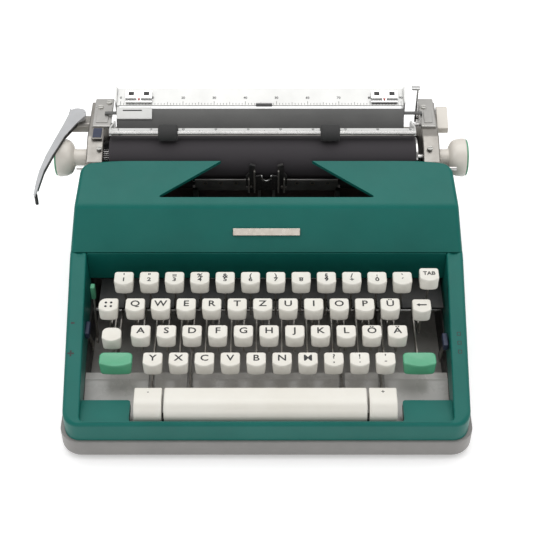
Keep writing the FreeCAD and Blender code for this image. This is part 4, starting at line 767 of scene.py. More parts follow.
@dataclass
class RibbonCover:
    """Hood with a rounded front panel and the window over the type action, and its trim bar."""

    span: Span = field(default_factory=lambda: BENCH.span("ribbon_cover"))
    badge: Span = field(default_factory=lambda: BENCH.span("name_badge"))
    crease: Flat = (150.0, 115.0)
    window_front: Flat = (84.0, 157.4)
    window_back: float = 35.6
    crease_round: float = 3.2
    rear_corner: float = 9.0
    skirt: float = 2.4
    lean: Flat = (1.5, 4.5)
    wall: float = 3.2

    def build_hood(self) -> None:
        """Bevel a block into the hood, open it below and behind, cut the window, give it a wall."""
        low, high = self.span.low, self.span.high
        maker = Maker()
        side = high.x
        maker.prism(Axis.X, [(low.y, low.z), self.crease, (high.y, high.z), (high.y, low.z)], low.x, side)
        for vert in maker.bm.verts:
            outward = self.skirt
            if vert.co.z > self.crease[1] - 1.0:
                outward = -self.lean[1] if vert.co.y > self.crease[0] + 1.0 else -self.lean[0]
            vert.co.x += outward if vert.co.x > 0.0 else -outward
        maker.soften(maker.bm.verts[:], self.rear_corner, 7, lambda edge: all(
            vert.co.y > high.y - 0.1 for vert in edge.verts) and self._upright(edge))
        maker.soften(maker.bm.verts[:], self.crease_round, 6, self._upper)
        maker.drop(lambda face: face.calc_center_median().z < low.z + 0.2 and abs(face.normal.z) > 0.9)
        maker.drop(lambda face: face.calc_center_median().y > high.y - 0.2 and abs(face.normal.y) > 0.99)
        half, front = self.window_front
        slant = (high.y - front, half - self.window_back)
        maker.cut((0, front, 0), (0, 1, 0))
        for sign in (-1.0, 1.0):
            maker.cut((sign * half, front, 0), (slant[0], sign * slant[1], 0))
        maker.drop(self._in_window)
        bmesh.ops.dissolve_limit(maker.bm, angle_limit=0.002, verts=maker.bm.verts[:],
                                 edges=maker.bm.edges[:], delimit=set())
        corners = [vert for vert in maker.bm.verts
                   if abs(abs(vert.co.x) - half) < 0.1 and abs(vert.co.y - front) < 0.1]
        bmesh.ops.bevel(maker.bm, geom=corners, offset=4.0, offset_type="OFFSET", segments=5,
                        profile=0.5, affect="VERTICES", clamp_overlap=True, material=-1)
        maker.done("hood", "cover", [PAINT], ["ribbon_cover"], edge=0.7, wall=self.wall, sharp=48.0)

    @staticmethod
    def _upright(edge: bmesh.types.BMEdge) -> bool:
        """Whether an edge stands upright."""
        first, second = edge.verts
        return abs(first.co.z - second.co.z) > 20.0

    def _upper(self, edge: bmesh.types.BMEdge) -> bool:
        """Whether an edge belongs to the hood's rounded outline: the crease, the top's border, the front."""
        first, second = (vert.co for vert in edge.verts)
        if edge.calc_face_angle(0.0) < math.radians(14.0) or min(first.y, second.y) > self.span.high.y - 0.1:
            return False
        if min(first.z, second.z) > self.crease[1] - 1.0:
            return True
        return max(first.z, second.z) > self.crease[1] - 1.0 and max(first.y, second.y) < self.crease[0] + 1.0

    def _in_window(self, face: bmesh.types.BMFace) -> bool:
        """Whether a face lies in the window."""
        spot = face.calc_center_median()
        half, front = self.window_front
        if spot.y < front or spot.z < self.crease[1] - 8.0:
            return False
        share = (spot.y - front) / (self.span.high.y - front)
        return abs(spot.x) < half - share * (half - self.window_back)

    def build_trim(self) -> None:
        """Plain bright bar, rounded at its ends."""
        maker = Maker()
        low, high = self.badge.low, self.badge.high
        bar = maker.prism(Axis.X, [(low.y, low.z + 0.9), (low.y + 1.2, low.z), (high.y, high.z - 0.9),
                                   (high.y - 1.2, high.z)], low.x + 0.3, high.x - 0.3)
        maker.soften(bar, 0.45, 3)
        maker.done("trim_bar", "cover", [TRIM], ["name_badge"])

    def build(self) -> None:
        """Make the cover and its trim."""
        self.build_hood()
        self.build_trim()


# ---------------------------------------------------------------- keyboard

@dataclass(frozen=True)
class Cap:
    """One key cap: place of its middle and top, its size and its legends."""

    x: float
    y: float
    top: float
    width: float = 14.6
    depth: float = 13.6
    height: float = 10.8
    back_corners: Flat = (1.9, 1.9)
    upper: str = ""
    lower: str = ""
    single: str = ""


@dataclass
class KeyWork:
    """Caps, levers and legends of the whole keyboard."""

    pitch: float = 19.05
    rings: tuple[tuple[float, float], ...] = (
        (0.0, 0.875), (0.025, 0.905), (0.07, 0.922), (0.2, 0.935), (0.4, 0.95), (0.6, 0.967), (0.78, 0.985),
        (0.87, 0.99), (0.925, 0.978), (0.962, 0.95), (0.982, 0.91), (0.985, 0.86), (0.975, 0.76),
        (0.962, 0.6), (0.95, 0.4), (0.944, 0.2), (0.942, 0.06))
    front_corner: float = 2.6
    sags: Flat = (0.5, 2.3)
    lever_wall: float = 1.2
    lever_half: float = 3.0
    stem_half: float = 1.7
    stem_bend: float = 4.0
    hub_radius: float = 4.9
    foot_share: float = 0.55

    def outline(self, cap: Cap, crown: float) -> list[Flat]:
        """Outline of a cap about its middle, with its front edge sagging forwards.

        Args:
            cap: the cap.
            crown: 0 for the squarer skirt, 1 for the crown.

        Returns:
            Points, anticlockwise from the back right corner.
        """
        half, deep, round_by = cap.width / 2, cap.depth / 2, self.front_corner
        sag = self.sags[0] + crown * (self.sags[1] - self.sags[0])
        steep = math.hypot(1.0, 2.0 * sag / half)
        turn = math.degrees(math.acos(-2.0 * sag / half / steep))
        reach = half - round_by * (1.0 - 2.0 * sag / half / steep)
        lift = -deep + sag + round_by / steep
        left, right = cap.back_corners
        spots = arc((half - right, deep - right), right, 0.0, 90.0, 5)
        spots += arc((-half + left, deep - left), left, 90.0, 180.0, 5)
        spots += arc((-half + round_by, lift), round_by, 180.0, 360.0 - turn, 6)
        for number in range(-4, 5):
            share = 0.2 * number
            spots.append((share * reach, -deep + sag * share * share))
        spots += arc((half - round_by, lift), round_by, turn + 180.0, 360.0, 6)
        return spots

    def add_cap(self, maker: Maker, cap: Cap, mark: int = 0) -> None:
        """Add one dished cap."""
        rings = []
        for level, share in self.rings:
            blend = min(1.0, max(0.0, (level - 0.1) / 0.8))
            z = cap.top - cap.height * (1.0 - level)
            rings.append([(cap.x + x * share, cap.y + y * share, z)
                          for x, y in self.outline(cap, blend * blend * (3.0 - 2.0 * blend))])
        maker.skin(rings, mark=mark, caps=True)

    def add_lever(self, maker: Maker, cap: Cap, shaft: Flat) -> None:
        """Add the stem and the lever of one key, as a flat plate with a hub on the shaft."""
        wall = self.lever_wall / 2
        low, high = shaft[1] - self.lever_half, shaft[1] + self.lever_half
        foot = cap.top - cap.height * self.foot_share
        bend = self.stem_bend
        stem = self.stem_half
        outline = [(cap.y - stem, foot), (cap.y - stem, low + bend)]
        outline += arc((cap.y - stem + bend, low + bend), bend, 180.0, 270.0, 4)[1:]
        outline += [(shaft[0] - 6.0, low + 0.6), (shaft[0] - 6.0, high - 0.6), (cap.y + 6.0, high)]
        outline += arc((cap.y + stem + bend, high + bend), bend, 270.0, 180.0, 4)[1:]
        outline += [(cap.y + stem, foot)]
        maker.prism(Axis.X, outline, cap.x - wall, cap.x + wall)
        maker.rod(Axis.X, self.hub_radius, cap.x - wall, cap.x + wall, shaft, sides=20)
        maker.block((cap.x - 1.9, cap.y - 2.3, foot - 1.6), (cap.x + 1.9, cap.y + 2.3, foot + 0.4))

    def add_legends(self, maker: Maker, cap: Cap, ground: BVHTree) -> None:
        """Add the lettering of one cap, laid on its dished top."""
        if cap.single:
            single = len(cap.single) == 1
            maker.write(cap.single, 7.8 if single else 5.0, (cap.x, cap.y + 1.2, cap.top), ground=ground,
                        bold=0.13, width=1.15 if single else 1.0)
        if cap.upper:
            maker.write(cap.upper, 5.4, (cap.x, cap.y + 2.6, cap.top), ground=ground, bold=0.13,
                        width=1.15)
        if cap.lower:
            maker.write(cap.lower, 5.4, (cap.x, cap.y - 1.3, cap.top), ground=ground, bold=0.13,
                        width=1.15)

    def build_bank(self, label: str, body: str, caps: Sequence[Cap], node: str,
                   finish: Finish = CAP) -> None:
        """Make the caps, levers and legends that ride on one body."""
        shaft = self.shaft()
        top = Maker()
        for cap in caps:
            self.add_cap(top, cap)
        ground = BVHTree.FromBMesh(top.bm)
        below = Maker()
        for cap in caps:
            self.add_lever(below, cap, shaft)
        ink = Maker()
        for cap in caps:
            self.add_legends(ink, cap, ground)
        top.done(label + "_caps", body, [finish], [node], sharp=170.0)
        below.done(label + "_levers", body, [LEVER], edge=0.12)
        if ink.bm.verts:
            ink.done(label + "_legends", body, [INK])
        else:
            ink.bm.free()

    @staticmethod
    def shaft() -> Flat:
        """Middle of the long shaft that the key levers turn on."""
        span = BENCH.span("lever_shafts")
        return (span.high.y - 2.5, span.high.z - 2.5)

    def row(self, node: str, pairs: Sequence[tuple[str, str]], skip: Sequence[int] = ()) -> list[Cap]:
        """Caps of one row, placed from its node's box, leaving out some of them."""
        span = BENCH.span(node)
        first, y, top = span.low.x + 7.3, span.low.y + 6.8, span.high.z
        caps = []
        for number, (upper, lower) in enumerate(pairs):
            if number in skip:
                continue
            words = {"single": upper} if not lower else {"upper": upper, "lower": lower}
            caps.append(Cap(first + number * self.pitch, y, top, **words))
        return caps

    def side_cap(self, node: str, single: str = "", back: Flat = (1.9, 1.9)) -> Cap:
        """Cap of a key that has a node of its own."""
        span = BENCH.span(node)
        width = span.high.x - span.low.x
        return Cap(span.middle.x, span.low.y + 6.8, span.high.z, width=width, back_corners=back,
                   single=single)

    def build_rows(self) -> None:
        """The four rows of character keys."""
        numbers = (("'", "1"), ("\"", "2"), ("=", "3"), ("%", "4"), ("&", "5"), ("(", "6"), (")", "7"),
                   ("_", "8"), ("§", "9"), ("/", "+"), (":", "0"), ("`", "´"))
        self.build_bank("number_row", "number_row", self.row("keys_number_row", numbers), "keys_number_row")
        upper = [(letter, "") for letter in "QWERTZUIOPÜ"]
        self.build_bank("upper_row", "upper_row", self.row("keys_upper_row", upper), "keys_upper_row")
        home = [(letter, "") for letter in "ASDFGHJKLÖÄ"]
        middle = 5
        self.build_bank("home_row", "home_row", self.row("keys_home_row", home, (middle,)), "keys_home_row")
        centre = [cap for cap in self.row("keys_home_row", home) if cap.single == home[middle][0]]
        self.build_bank("centre_key", "centre_key", centre, "centre_key")
        bottom = [(letter, "") for letter in "YXCVBNM"] + [("?", ","), ("!", "."), ("'", "-")]
        self.build_bank("bottom_row", "bottom_row", self.row("keys_bottom_row", bottom), "keys_bottom_row")

    def build_side_keys(self) -> None:
        """Keys at both ends of the rows."""
        self.build_bank("shift_lock", "shift_lock", [self.side_cap("shift_lock_key", "", (4.6, 4.6))],
                        "shift_lock_key")
        self.build_bank("tabulator", "tabulator", [self.side_cap("tab_key", "TAB")], "tab_key")
        for side in ("left", "right"):
            node = "shift_key_" + side
            self.build_bank("shift_" + side, "shift", [self.side_cap(node, "", (3.2, 3.2))], node,
                            CAP_GREEN)
        back = self.side_cap("backspace_key")
        self.build_bank("backspace", "backspace", [back], "backspace_key")
        arrow = Maker()
        y, z = back.y + 1.0, back.top - 0.7
        arrow.prism(Axis.Z, [(back.x - 4.2, y), (back.x - 1.6, y + 1.5), (back.x - 1.6, y + 0.55),
                             (back.x + 4.2, y + 0.55), (back.x + 4.2, y - 0.55),
                             (back.x - 1.6, y - 0.55), (back.x - 1.6, y - 1.5)], z, z + 0.25)
        arrow.done("backspace_arrow", "backspace", [INK])
        margin = self.side_cap("margin_release_key", "", (5.4, 1.9))
        self.build_bank("margin_release", "margin_release", [margin], "margin_release_key")
        dots = Maker()
        for x in (-2.0, 2.0):
            for y in (-1.4, 2.4):
                dots.rod(Axis.Z, 0.95, margin.top - 0.8, margin.top - 0.4,
                         (margin.x + x, margin.y + y), sides=14)
        dots.done("margin_release_dots", "margin_release", [INK])

    def build_low_key(self, node: str, body: str, arms: Sequence[float], sign: str = "") -> None:
        """Space bar or one of the keys beside it: a rolled front on steel arms."""
        span = BENCH.span(node)
        shaft = (span.high.y - 4.0, span.low.z + 4.0)
        front, back, low, top = span.low.y, span.low.y + 22.0, 30.5, span.high.z
        outline = [(front + 0.8, low), (front, low + 1.0), (front, low + 4.0)]
        outline += [(front + 11.5 * (1.0 - math.cos(angle)), low + 4.0 + (top - low - 4.0) * math.sin(angle))
                    for angle in (math.radians(10.0 * step) for step in range(1, 10))]
        outline += [(back - 2.0, top - 0.1), (back - 0.5, top - 0.5), (back, top - 1.8), (back, low)]
        maker = Maker()
        body_of_key = maker.prism(Axis.X, outline, span.low.x, span.high.x)
        maker.soften(body_of_key, 0.9, 3, lambda edge: abs(edge.verts[0].co.x - edge.verts[1].co.x) < 0.01)
        ground = BVHTree.FromBMesh(maker.bm)
        maker.done(node + "_top", body, [SPACE], [node])
        levers = Maker()
        for x in arms:
            levers.prism(Axis.X, [(front + 10.0, low + 1.0), (front + 10.0, shaft[1] - 1.0),
                                  (front + 12.0, shaft[1] - 2.6), (shaft[0], shaft[1] - 2.6),
                                  (shaft[0], shaft[1] + 2.6), (front + 18.0, shaft[1] + 2.6),
                                  (front + 18.0, low + 1.0)], x - 0.8, x + 0.8)
            levers.rod(Axis.X, 4.0, x - 0.8, x + 0.8, shaft, sides=20)
        levers.done(node + "_arms", body, [LEVER], edge=0.12)
        if sign:
            ink = Maker()
            ink.write(sign, 4.6, (span.middle.x, back - 4.5, top), ground=ground)
            ink.done(node + "_sign", body, [INK])

    def build_side_levers(self) -> None:
        """Three small hand levers beside the keys."""
        for node, body, finish in (("side_release_lever", "side_release", DISC_GREEN),
                                   ("touch_lever", "touch", NAVY),
                                   ("ribbon_selector", "ribbon_selector", NAVY)):
            span = BENCH.span(node)
            grip_low = span.high.z - (13.0 if finish is DISC_GREEN else 6.0)
            middle = span.middle.x
            depth = 5.0 if finish is DISC_GREEN else span.high.y - span.low.y - 9.0
            at_back = finish is DISC_GREEN
            pivot_y = span.low.y + 4.0 if at_back else span.high.y - 4.0
            grip_y = span.high.y - 2.5 if at_back else span.low.y + depth / 2
            maker = Maker()
            pivot_z = span.low.z + 4.0
            maker.prism(Axis.X, [(pivot_y - 3.0, pivot_z), (pivot_y + 3.0, pivot_z),
                                 (grip_y + 1.6, grip_low + 1.0), (grip_y - 1.6, grip_low + 1.0)],
                        middle - 0.6, middle + 0.6, mark=1)
            maker.rod(Axis.X, 3.9, middle - 0.6, middle + 0.6, (pivot_y, pivot_z), mark=1, sides=24)
            grip = maker.block((span.low.x, grip_y - depth / 2, grip_low),
                               (span.high.x, grip_y + depth / 2, span.high.z))
            maker.soften(grip, 0.9, 3)
            for number in range(3):
                z = grip_low + 1.6 + number * (span.high.z - grip_low - 2.4) / 3
                maker.block((span.low.x + 0.5, grip_y - depth / 2 - 0.02, z),
                            (span.high.x - 0.5, grip_y - depth / 2 + 0.3, z + 0.6))
            maker.done(node + "_grip", body, [finish, LEVER], [node], edge=0.15)

    def build(self) -> None:
        """Make the whole keyboard."""
        self.build_rows()
        self.build_side_keys()
        self.build_low_key("space_bar", "space_bar", (-57.6, 56.7))
        self.build_low_key("tab_clear_key", "tab_clear", (-86.3,), "-")
        self.build_low_key("tab_set_key", "tab_set", (86.4,), "+")
        self.build_side_levers()


# ---------------------------------------------------------------- frame and type action

@dataclass
class Works:
    """Steel frame, shafts, type action, ribbon and bell."""

    def dress(self) -> None:
        """Finishes of the carried-over pieces."""
        dress(DARK_STEEL, "chassis")
        dress(STEEL, "carriage_rails")
        dress(SHAFT, "cover_hinge_pins", "lever_shafts")
        dress(DARK_STEEL, "key_guard_plate", "type_segment")
        dress(BRASS, "spool_cups", "mainspring_drum")
        dress(RIBBON, "ribbon")
        dress(CHROME, "bell")
        dress(TYPE, "type_bars", "centre_type_bar")
        dress(STEEL, "ribbon_spool_left", "ribbon_spool_right")

    def build_guide(self) -> None:
        """Bright forked guide at the printing point."""
        span = BENCH.span("type_guide")
        maker = Maker()
        near, far = 8.6, span.high.x + 2.4
        for sign in (-1.0, 1.0):
            outline = [(sign * near, span.low.z - 3.0), (sign * far, span.low.z - 3.0),
                       (sign * far, span.high.z - 12.0), (sign * (far - 2.6), span.high.z - 9.0),
                       (sign * (far - 2.6), span.high.z - 1.0), (sign * (far - 3.6), span.high.z),
                       (sign * near, span.high.z - 1.6)]
            maker.prism(Axis.Y, outline, span.low.y + 1.4, span.high.y)
            for low, high in (((near + 0.2, span.low.y - 1.2, span.low.z - 2.0),
                               (near + 1.4, span.low.y + 1.6, span.high.z - 5.0)),
                              ((far - 2.8, span.low.y - 1.2, span.low.z - 2.0),
                               (far - 1.6, span.low.y + 1.6, span.high.z - 13.0))):
                x = sorted((sign * low[0], sign * high[0]))
                maker.block((x[0], low[1], low[2]), (x[1], high[1], high[2]), mark=1)
            maker.rod(Axis.Y, 1.1, span.low.y - 0.1, span.low.y + 1.6,
                      (sign * (near + 3.4), span.low.z + 3.0),
                      mark=1, sides=16)
        self._notch(maker, near, span.high.y)
        maker.done("print_guide", "frame", [DARK_STEEL, CASTING, CHROME], ["type_guide"], edge=0.2)

    @staticmethod
    def _notch(maker: Maker, half: float, back: float) -> None:
        """Cross-hatched plate between the cheeks, with a bright notch where the type strikes."""
        front, low, bottom, top = back - 1.6, 98.0, 109.0, 113.4
        plate = [(-half, low), (half, low), (half, top - 1.0), (3.4, top)]
        plate += arc((0.0, bottom + 2.6), 3.2, 0.0, -180.0, 10) + [(-3.4, top), (-half, top - 1.0)]
        maker.prism(Axis.Y, plate, front, back)
        rim = arc((0.0, bottom + 2.6), 4.3, 0.0, -180.0, 10) + [(-4.3, top), (-3.1, top)]
        rim += arc((0.0, bottom + 2.6), 3.1, 180.0, 360.0, 10) + [(3.1, top), (4.3, top)]
        maker.prism(Axis.Y, rim, front - 0.5, front + 0.3, mark=2)
        for row in range(3):
            for number in range(6):
                x, z = -6.2 + 2.5 * number, low + 2.0 + 2.9 * row
                maker.prism(Axis.Y, [(x - 0.9, z), (x, z - 1.1), (x + 0.9, z), (x, z + 1.1)], front - 0.35,
                            front + 0.1)

    def build_vibrator(self) -> None:
        """Ribbon carrier: foot with two slim prongs, each with an eye at its end."""
        span = BENCH.span("ribbon_vibrator")
        maker = Maker()
        foot = maker.block(span.low, (span.high.x, span.high.y, span.low.z + 4.0))
        maker.soften(foot, 0.2, 2)
        for sign in (-1.0, 1.0):
            outline = [(sign * 4.6, span.low.z + 2.0), (sign * 7.0, span.low.z + 2.0),
                       (sign * 7.0, span.high.z - 1.6),
                       (sign * 6.2, span.high.z), (sign * 5.2, span.high.z), (sign * 4.6, span.high.z - 1.0)]
            maker.prism(Axis.Y, outline, span.low.y, span.high.y)
            maker.rod(Axis.Y, 0.6, span.low.y - 0.01, span.high.y, (sign * 5.8, span.high.z - 2.4),
                      mark=1, sides=12)
        maker.done("ribbon_carrier", "vibrator", [STEEL, DARK_STEEL], ["ribbon_vibrator"], edge=0.08)

    def build_stop_rail(self) -> None:
        """Grey rail that stops the fall of the key levers, on three feet, and the pan below it."""
        span = BENCH.span("stop_bar")
        maker = Maker()
        for low_x, high_x in ((span.low.x, -88.6), (-84.0, -59.9), (-55.3, 54.4), (59.0, 84.1),
                              (88.7, span.high.x)):
            maker.prism(Axis.X, [(4.4, 13.8), (30.0, 18.6), (50.2, 26.0), (57.0, 26.0), (57.0, 29.0),
                                 (50.6, 29.0),
                                 (49.0, 27.8), (30.0, 20.2), (4.4, 15.4)], low_x, high_x)
        for x in (-132.0, -4.0, 124.0):
            maker.block((x, span.low.y + 4.4, span.low.z), (x + 8.0, span.high.y - 0.6, span.high.z - 2.0))
        maker.done("stop_rail", "frame", [PAN], ["stop_bar"], edge=0.2)
        tray = Maker()
        half = span.high.x - 1.0
        tray.prism(Axis.X, [(4.4, 15.6), (10.0, 14.6), (40.0, 14.2), (62.0, 11.0), (62.0, 10.0), (40.0, 13.2),
                            (4.4, 13.6)], -half, half)
        tray.done("front_tray", "frame", [PAN], edge=0.3)
        pads = Maker()
        for x, width in ((-79.0, 6.0), (-63.5, 7.0), (60.0, 7.0)):
            pads.block((x - width / 2, 3.7, 30.2), (x + width / 2, 5.2, 31.6))
        for x in (-75.3, 73.8):
            pads.block((x - 0.55, 5.9, 27.0), (x + 0.55, 12.0, 37.0))
        pads.done("bar_bumpers", "frame", [FEET], edge=0.15)

    def build_cards(self) -> None:
        """Card holders beside the guide: beam, plate with three eyelets and leg on each side."""
        span = BENCH.span("card_holders")
        maker = Maker()
        for sign in (-1.0, 1.0):
            near, far = (13.9, span.high.x)
            low_x, high_x = (near, far) if sign > 0 else (-far, -near)
            maker.block((low_x, span.low.y, 100.0), (high_x, span.high.y, 103.4))
            maker.block((low_x + 2.0, span.low.y, 103.0), (low_x + 42.0, span.low.y + 1.2, span.high.z))
            leg = high_x - 4.0 if sign > 0 else low_x
            maker.block((leg, span.low.y, span.low.z), (leg + 4.0, span.high.y, 103.0))
            for number in range(3):
                x = low_x + 10.0 + 12.0 * number
                maker.turned(Axis.Y, [(span.low.y - 0.0, 1.3), (span.low.y - 0.0, 2.1),
                                      (span.low.y + 1.4, 2.1), (span.low.y + 1.4, 1.3)],
                             (x, 107.4), mark=1, steps=20)
                maker.rod(Axis.Y, 1.35, span.low.y + 0.0, span.low.y + 1.3, (x, 107.4), mark=2, sides=16)
        maker.done("card_brackets", "frame", [STEEL, BRASS, DARK_STEEL], ["card_holders"], edge=0.2)

    def build(self) -> None:
        """Make and dress the works."""
        self.build_guide()
        self.build_vibrator()
        self.build_cards()
        self.build_stop_rail()
        self.dress()


# ---------------------------------------------------------------- carriage

@dataclass
class Carriage:
    """End castings, platen, paper handling and the levers that move with the carriage."""

    axis: Flat = (209.0, 113.0)

    def build_castings(self) -> None:
        """Both ends with their raised rims, plates, bracket, cross bar and line marks."""
        span = BENCH.span("carriage_frame")
        maker = Maker()
        low_z, step_z, top, front_top = span.low.z, 93.0, 127.5, 118.5
        outline = [(195.0, low_z), (232.0, low_z), (232.0, step_z), (262.0, step_z), (262.0, top)]
        outline += arc((219.0, top - 9.0), 9.0, 90.0, 112.0, 3)
        outline += arc((198.5, front_top - 2.6), 3.5, 112.0, 180.0, 4)
        for low_x, high_x in ((-142.0, -128.7), (123.4, span.high.x)):
            body = maker.prism(Axis.X, outline, low_x, high_x)
            maker.soften(body, 1.3, 3, lambda edge: min(v.co.z for v in edge.verts) > 110.0
                         and edge.calc_face_angle(0.0) > 0.9)
        bracket = maker.prism(Axis.X, [(234.0, 118.0), (246.0, 118.0), (246.0, 126.0), (236.0, 126.0),
                                       (234.0, 124.0)], -157.5, -141.5)
        maker.soften(bracket, 0.8, 2)
        maker.rod(Axis.Z, 2.5, 119.0, 131.2, (-151.5, 240.0), mark=1)
        maker.block((-136.0, 246.0, 97.0), (129.4, 258.0, 105.0))
        for low_x, high_x in ((-139.0, -124.0), (123.4, 135.4)):
            plate = maker.block((low_x, 228.0, 127.0), (high_x, 263.9, 129.5), mark=2)
            maker.soften(plate, 0.8, 2)
            raised = maker.block((low_x + 2.6, 232.0, 129.3), (high_x - 2.6, 246.0, 130.3), mark=2)
            maker.soften(raised, 0.4, 2)
        for number in range(3):
            y = 203.0 + 3.4 * number
            z = front_top + (y - 198.5) * (top - front_top) / 20.5 + 0.15
            maker.block((-139.8, y, z - 0.5), (-135.2, y + 0.9, z + 0.25), mark=3)
        maker.done("carriage_ends", "carriage", [CASTING, SHAFT, PLATE, SIGNAL], ["carriage_frame"],
                   edge=0.25)

    def build_platen(self) -> None:
        """Rubber sleeve, core with its toothed ratchet, and both knobs with green discs."""
        rubber = BENCH.span("platen_rubber")
        centre = self.axis
        sleeve = Maker()
        radius = (rubber.high.z - rubber.low.z) / 2
        sleeve.turned(Axis.X, [(rubber.low.x, 12.0), (rubber.low.x, radius - 0.5),
                               (rubber.low.x + 0.5, radius),
                               (rubber.high.x - 0.5, radius), (rubber.high.x, radius - 0.5),
                               (rubber.high.x, 12.0)], centre, steps=96)
        sleeve.done("platen_sleeve", "platen", [RUBBER], ["platen_rubber"])
        core = Maker()
        core.turned(Axis.X, [(-161.0, 0.0), (-161.0, 3.0), (rubber.low.x - 5.0, 3.0),
                             (rubber.low.x - 5.0, 9.0),
                             (rubber.low.x - 4.6, 11.4), (rubber.low.x - 0.4, 11.4),
                             (rubber.low.x - 0.4, 12.0),
                             (rubber.high.x, 12.0), (rubber.high.x, radius - 1.4),
                             (rubber.high.x + 1.4, radius - 1.4), (rubber.high.x + 1.4, 3.0), (153.0, 3.0),
                             (153.0, 0.0)], centre)
        teeth = 45
        for number in range(teeth):
            angle = math.tau * number / teeth
            spots = arc((0.0, 0.0), 11.0, math.degrees(angle) - 3.4, math.degrees(angle) + 3.4, 1)
            tip = (13.0 * math.cos(angle + 0.03), 13.0 * math.sin(angle + 0.03))
            outline = [(centre[0] + u, centre[1] + v) for u, v in (spots[0], tip, spots[1])]
            core.prism(Axis.X, outline, rubber.low.x - 4.6, rubber.low.x - 0.6, mark=1)
        core.done("platen_core_turned", "platen", [SHAFT, DARK_STEEL], ["platen_core"])
        for side, sign in (("left", 1.0), ("right", -1.0)):
            self._knob("knob_" + side, sign)

    def _knob(self, node: str, sign: float) -> None:
        """One beige knob: cupped outer face, soft rim, slim hub, green disc in the cup."""
        span = BENCH.span(node)
        radius = (span.high.z - span.low.z) / 2
        outer = span.low.x if sign > 0 else span.high.x
        inner = span.high.x if sign > 0 else span.low.x
        steps = [(1.7, 0.0), (1.7, radius - 1.9), (1.5, radius - 1.2), (1.9, radius - 0.4), (2.9, radius),
                 (5.0, radius - 0.05), (8.6, radius - 0.6), (11.6, radius - 1.9), (13.2, radius - 3.6),
                 (14.2, radius - 5.6), (14.9, 7.2)]
        profile = [(outer + sign * along, size) for along, size in steps]
        profile += [(outer + sign * 16.4, 6.6), (inner, 6.6), (inner, 3.0), (outer + sign * 6.0, 3.0),
                    (outer + sign * 6.0, 0.0)]
        maker = Maker()
        maker.turned(Axis.X, profile, self.axis, steps=80)
        disc = [(outer + sign * 1.75, 0.0), (outer + sign * 1.75, radius - 1.0),
                (outer + sign * 0.7, radius - 0.8),
                (outer + sign * 0.15, radius - 1.8), (outer, radius - 3.4),
                (outer + sign * 0.5, radius - 6.0),
                (outer + sign * 0.7, 0.0)]
        maker.turned(Axis.X, disc, self.axis, mark=1, steps=64)
        maker.done(node + "_grip", "platen", [KNOB, DISC_GREEN], [node])

    def build_bail(self) -> None:
        """Rod, flat strip with its scale, arms and pivot pins."""
        span = BENCH.span("paper_bail")
        rollers = [BENCH.span("bail_roller_" + side) for side in ("left", "right")]
        low_x, high_x = -123.0, 116.9
        rod_y, rod_z = rollers[0].middle.y, rollers[0].middle.z
        maker = Maker()
        maker.rod(Axis.X, 1.4, low_x, high_x, (rod_y, rod_z), mark=1, sides=20)
        edges = [low_x] + [value for roller in rollers for value in (roller.low.x - 0.4, roller.high.x + 0.4)]
        edges += [high_x]
        for start, end in zip(edges[::2], edges[1::2]):
            strip = maker.block((start, rod_y + 0.4, rod_z - 0.5), (end, rod_y + 5.4, rod_z + 0.5))
            maker.soften(strip, 0.3, 2)
        for x in (low_x, high_x - 1.5):
            outline = [(rod_y - 1.2, rod_z - 2.0), (rod_y + 14.0, rod_z - 8.4), (236.6, 120.8)]
            outline += arc((238.0, 123.0), 3.0, -120.0, 60.0, 6)
            outline += [(rod_y + 15.0, rod_z - 3.6), (rod_y + 5.0, rod_z + 2.0), (rod_y, rod_z + 2.0)]
            maker.prism(Axis.X, outline, x, x + 1.5)
        maker.rod(Axis.X, 1.5, span.low.x, low_x + 1.0, (238.0, 123.0), mark=1, sides=16)
        maker.rod(Axis.X, 1.5, high_x - 1.0, span.high.x, (238.0, 123.0), mark=1, sides=16)
        maker.done("bail_strip", "paper_bail", [SCALE, SHAFT], ["paper_bail"], edge=0.12)
        ticks = Maker()
        step, start, count = 2.54, -116.0, 91
        for number in range(count):
            x = start + step * number
            if any(roller.low.x - 1.2 < x < roller.high.x + 1.2 for roller in rollers):
                continue
            long = 1.9 if number % 5 == 0 else 1.1
            ticks.block((x - 0.14, rod_y + 0.7, rod_z + 0.45), (x + 0.14, rod_y + 0.7 + long, rod_z + 0.53))
            if number % 10 == 0:
                ticks.write(str(number), 2.1, (x, rod_y + 3.9, rod_z + 0.5))
        ticks.done("bail_ticks", "paper_bail", [INK])
        for side, roller in zip(("left", "right"), rollers):
            self._bail_roller(side, roller)

    @staticmethod
    def _bail_roller(side: str, span: Span) -> None:
        """One rubber roller on the bail, with rounded rims."""
        radius = (span.high.z - span.low.z) / 2
        maker = Maker()
        maker.turned(Axis.X, [(span.low.x, 1.46), (span.low.x, radius - 0.9), (span.low.x + 0.9, radius),
                              (span.high.x - 0.9, radius), (span.high.x, radius - 0.9), (span.high.x, 1.46)],
                     (span.middle.y, span.middle.z), steps=48)
        node = "bail_roller_" + side
        maker.done(node + "_tyre", node, [ROLLER], [node])

    def build_table(self) -> None:
        """Paper table: bent sheet with ears, and the pale sliding guide on it with a dark line."""
        span = BENCH.span("paper_table")
        low_x, high_x = -120.0, 110.0
        maker = Maker()
        maker.prism(Axis.X, [(230.5, 122.5), (235.0, 129.2), (243.5, 135.2), (244.4, 133.7), (236.1, 127.7),
                             (232.0, 122.1)], low_x, high_x)
        for low, high in (((-129.7, 240.4, 131.0), (-119.9, 243.4, 132.4)),
                          ((-129.7, 240.4, 129.5), (-127.7, 243.4, 131.5)),
                          ((109.0, 240.4, 131.0), (span.high.x, 243.4, 132.4)),
                          ((123.4, 240.4, 129.5), (124.9, 243.4, 131.5))):
            maker.block(low, high)
        maker.done("paper_rest", "carriage", [TABLE], ["paper_table"], edge=0.35)
        guide = BENCH.span("paper_guide")
        plate = Maker()
        slope = 6.0 / 8.5

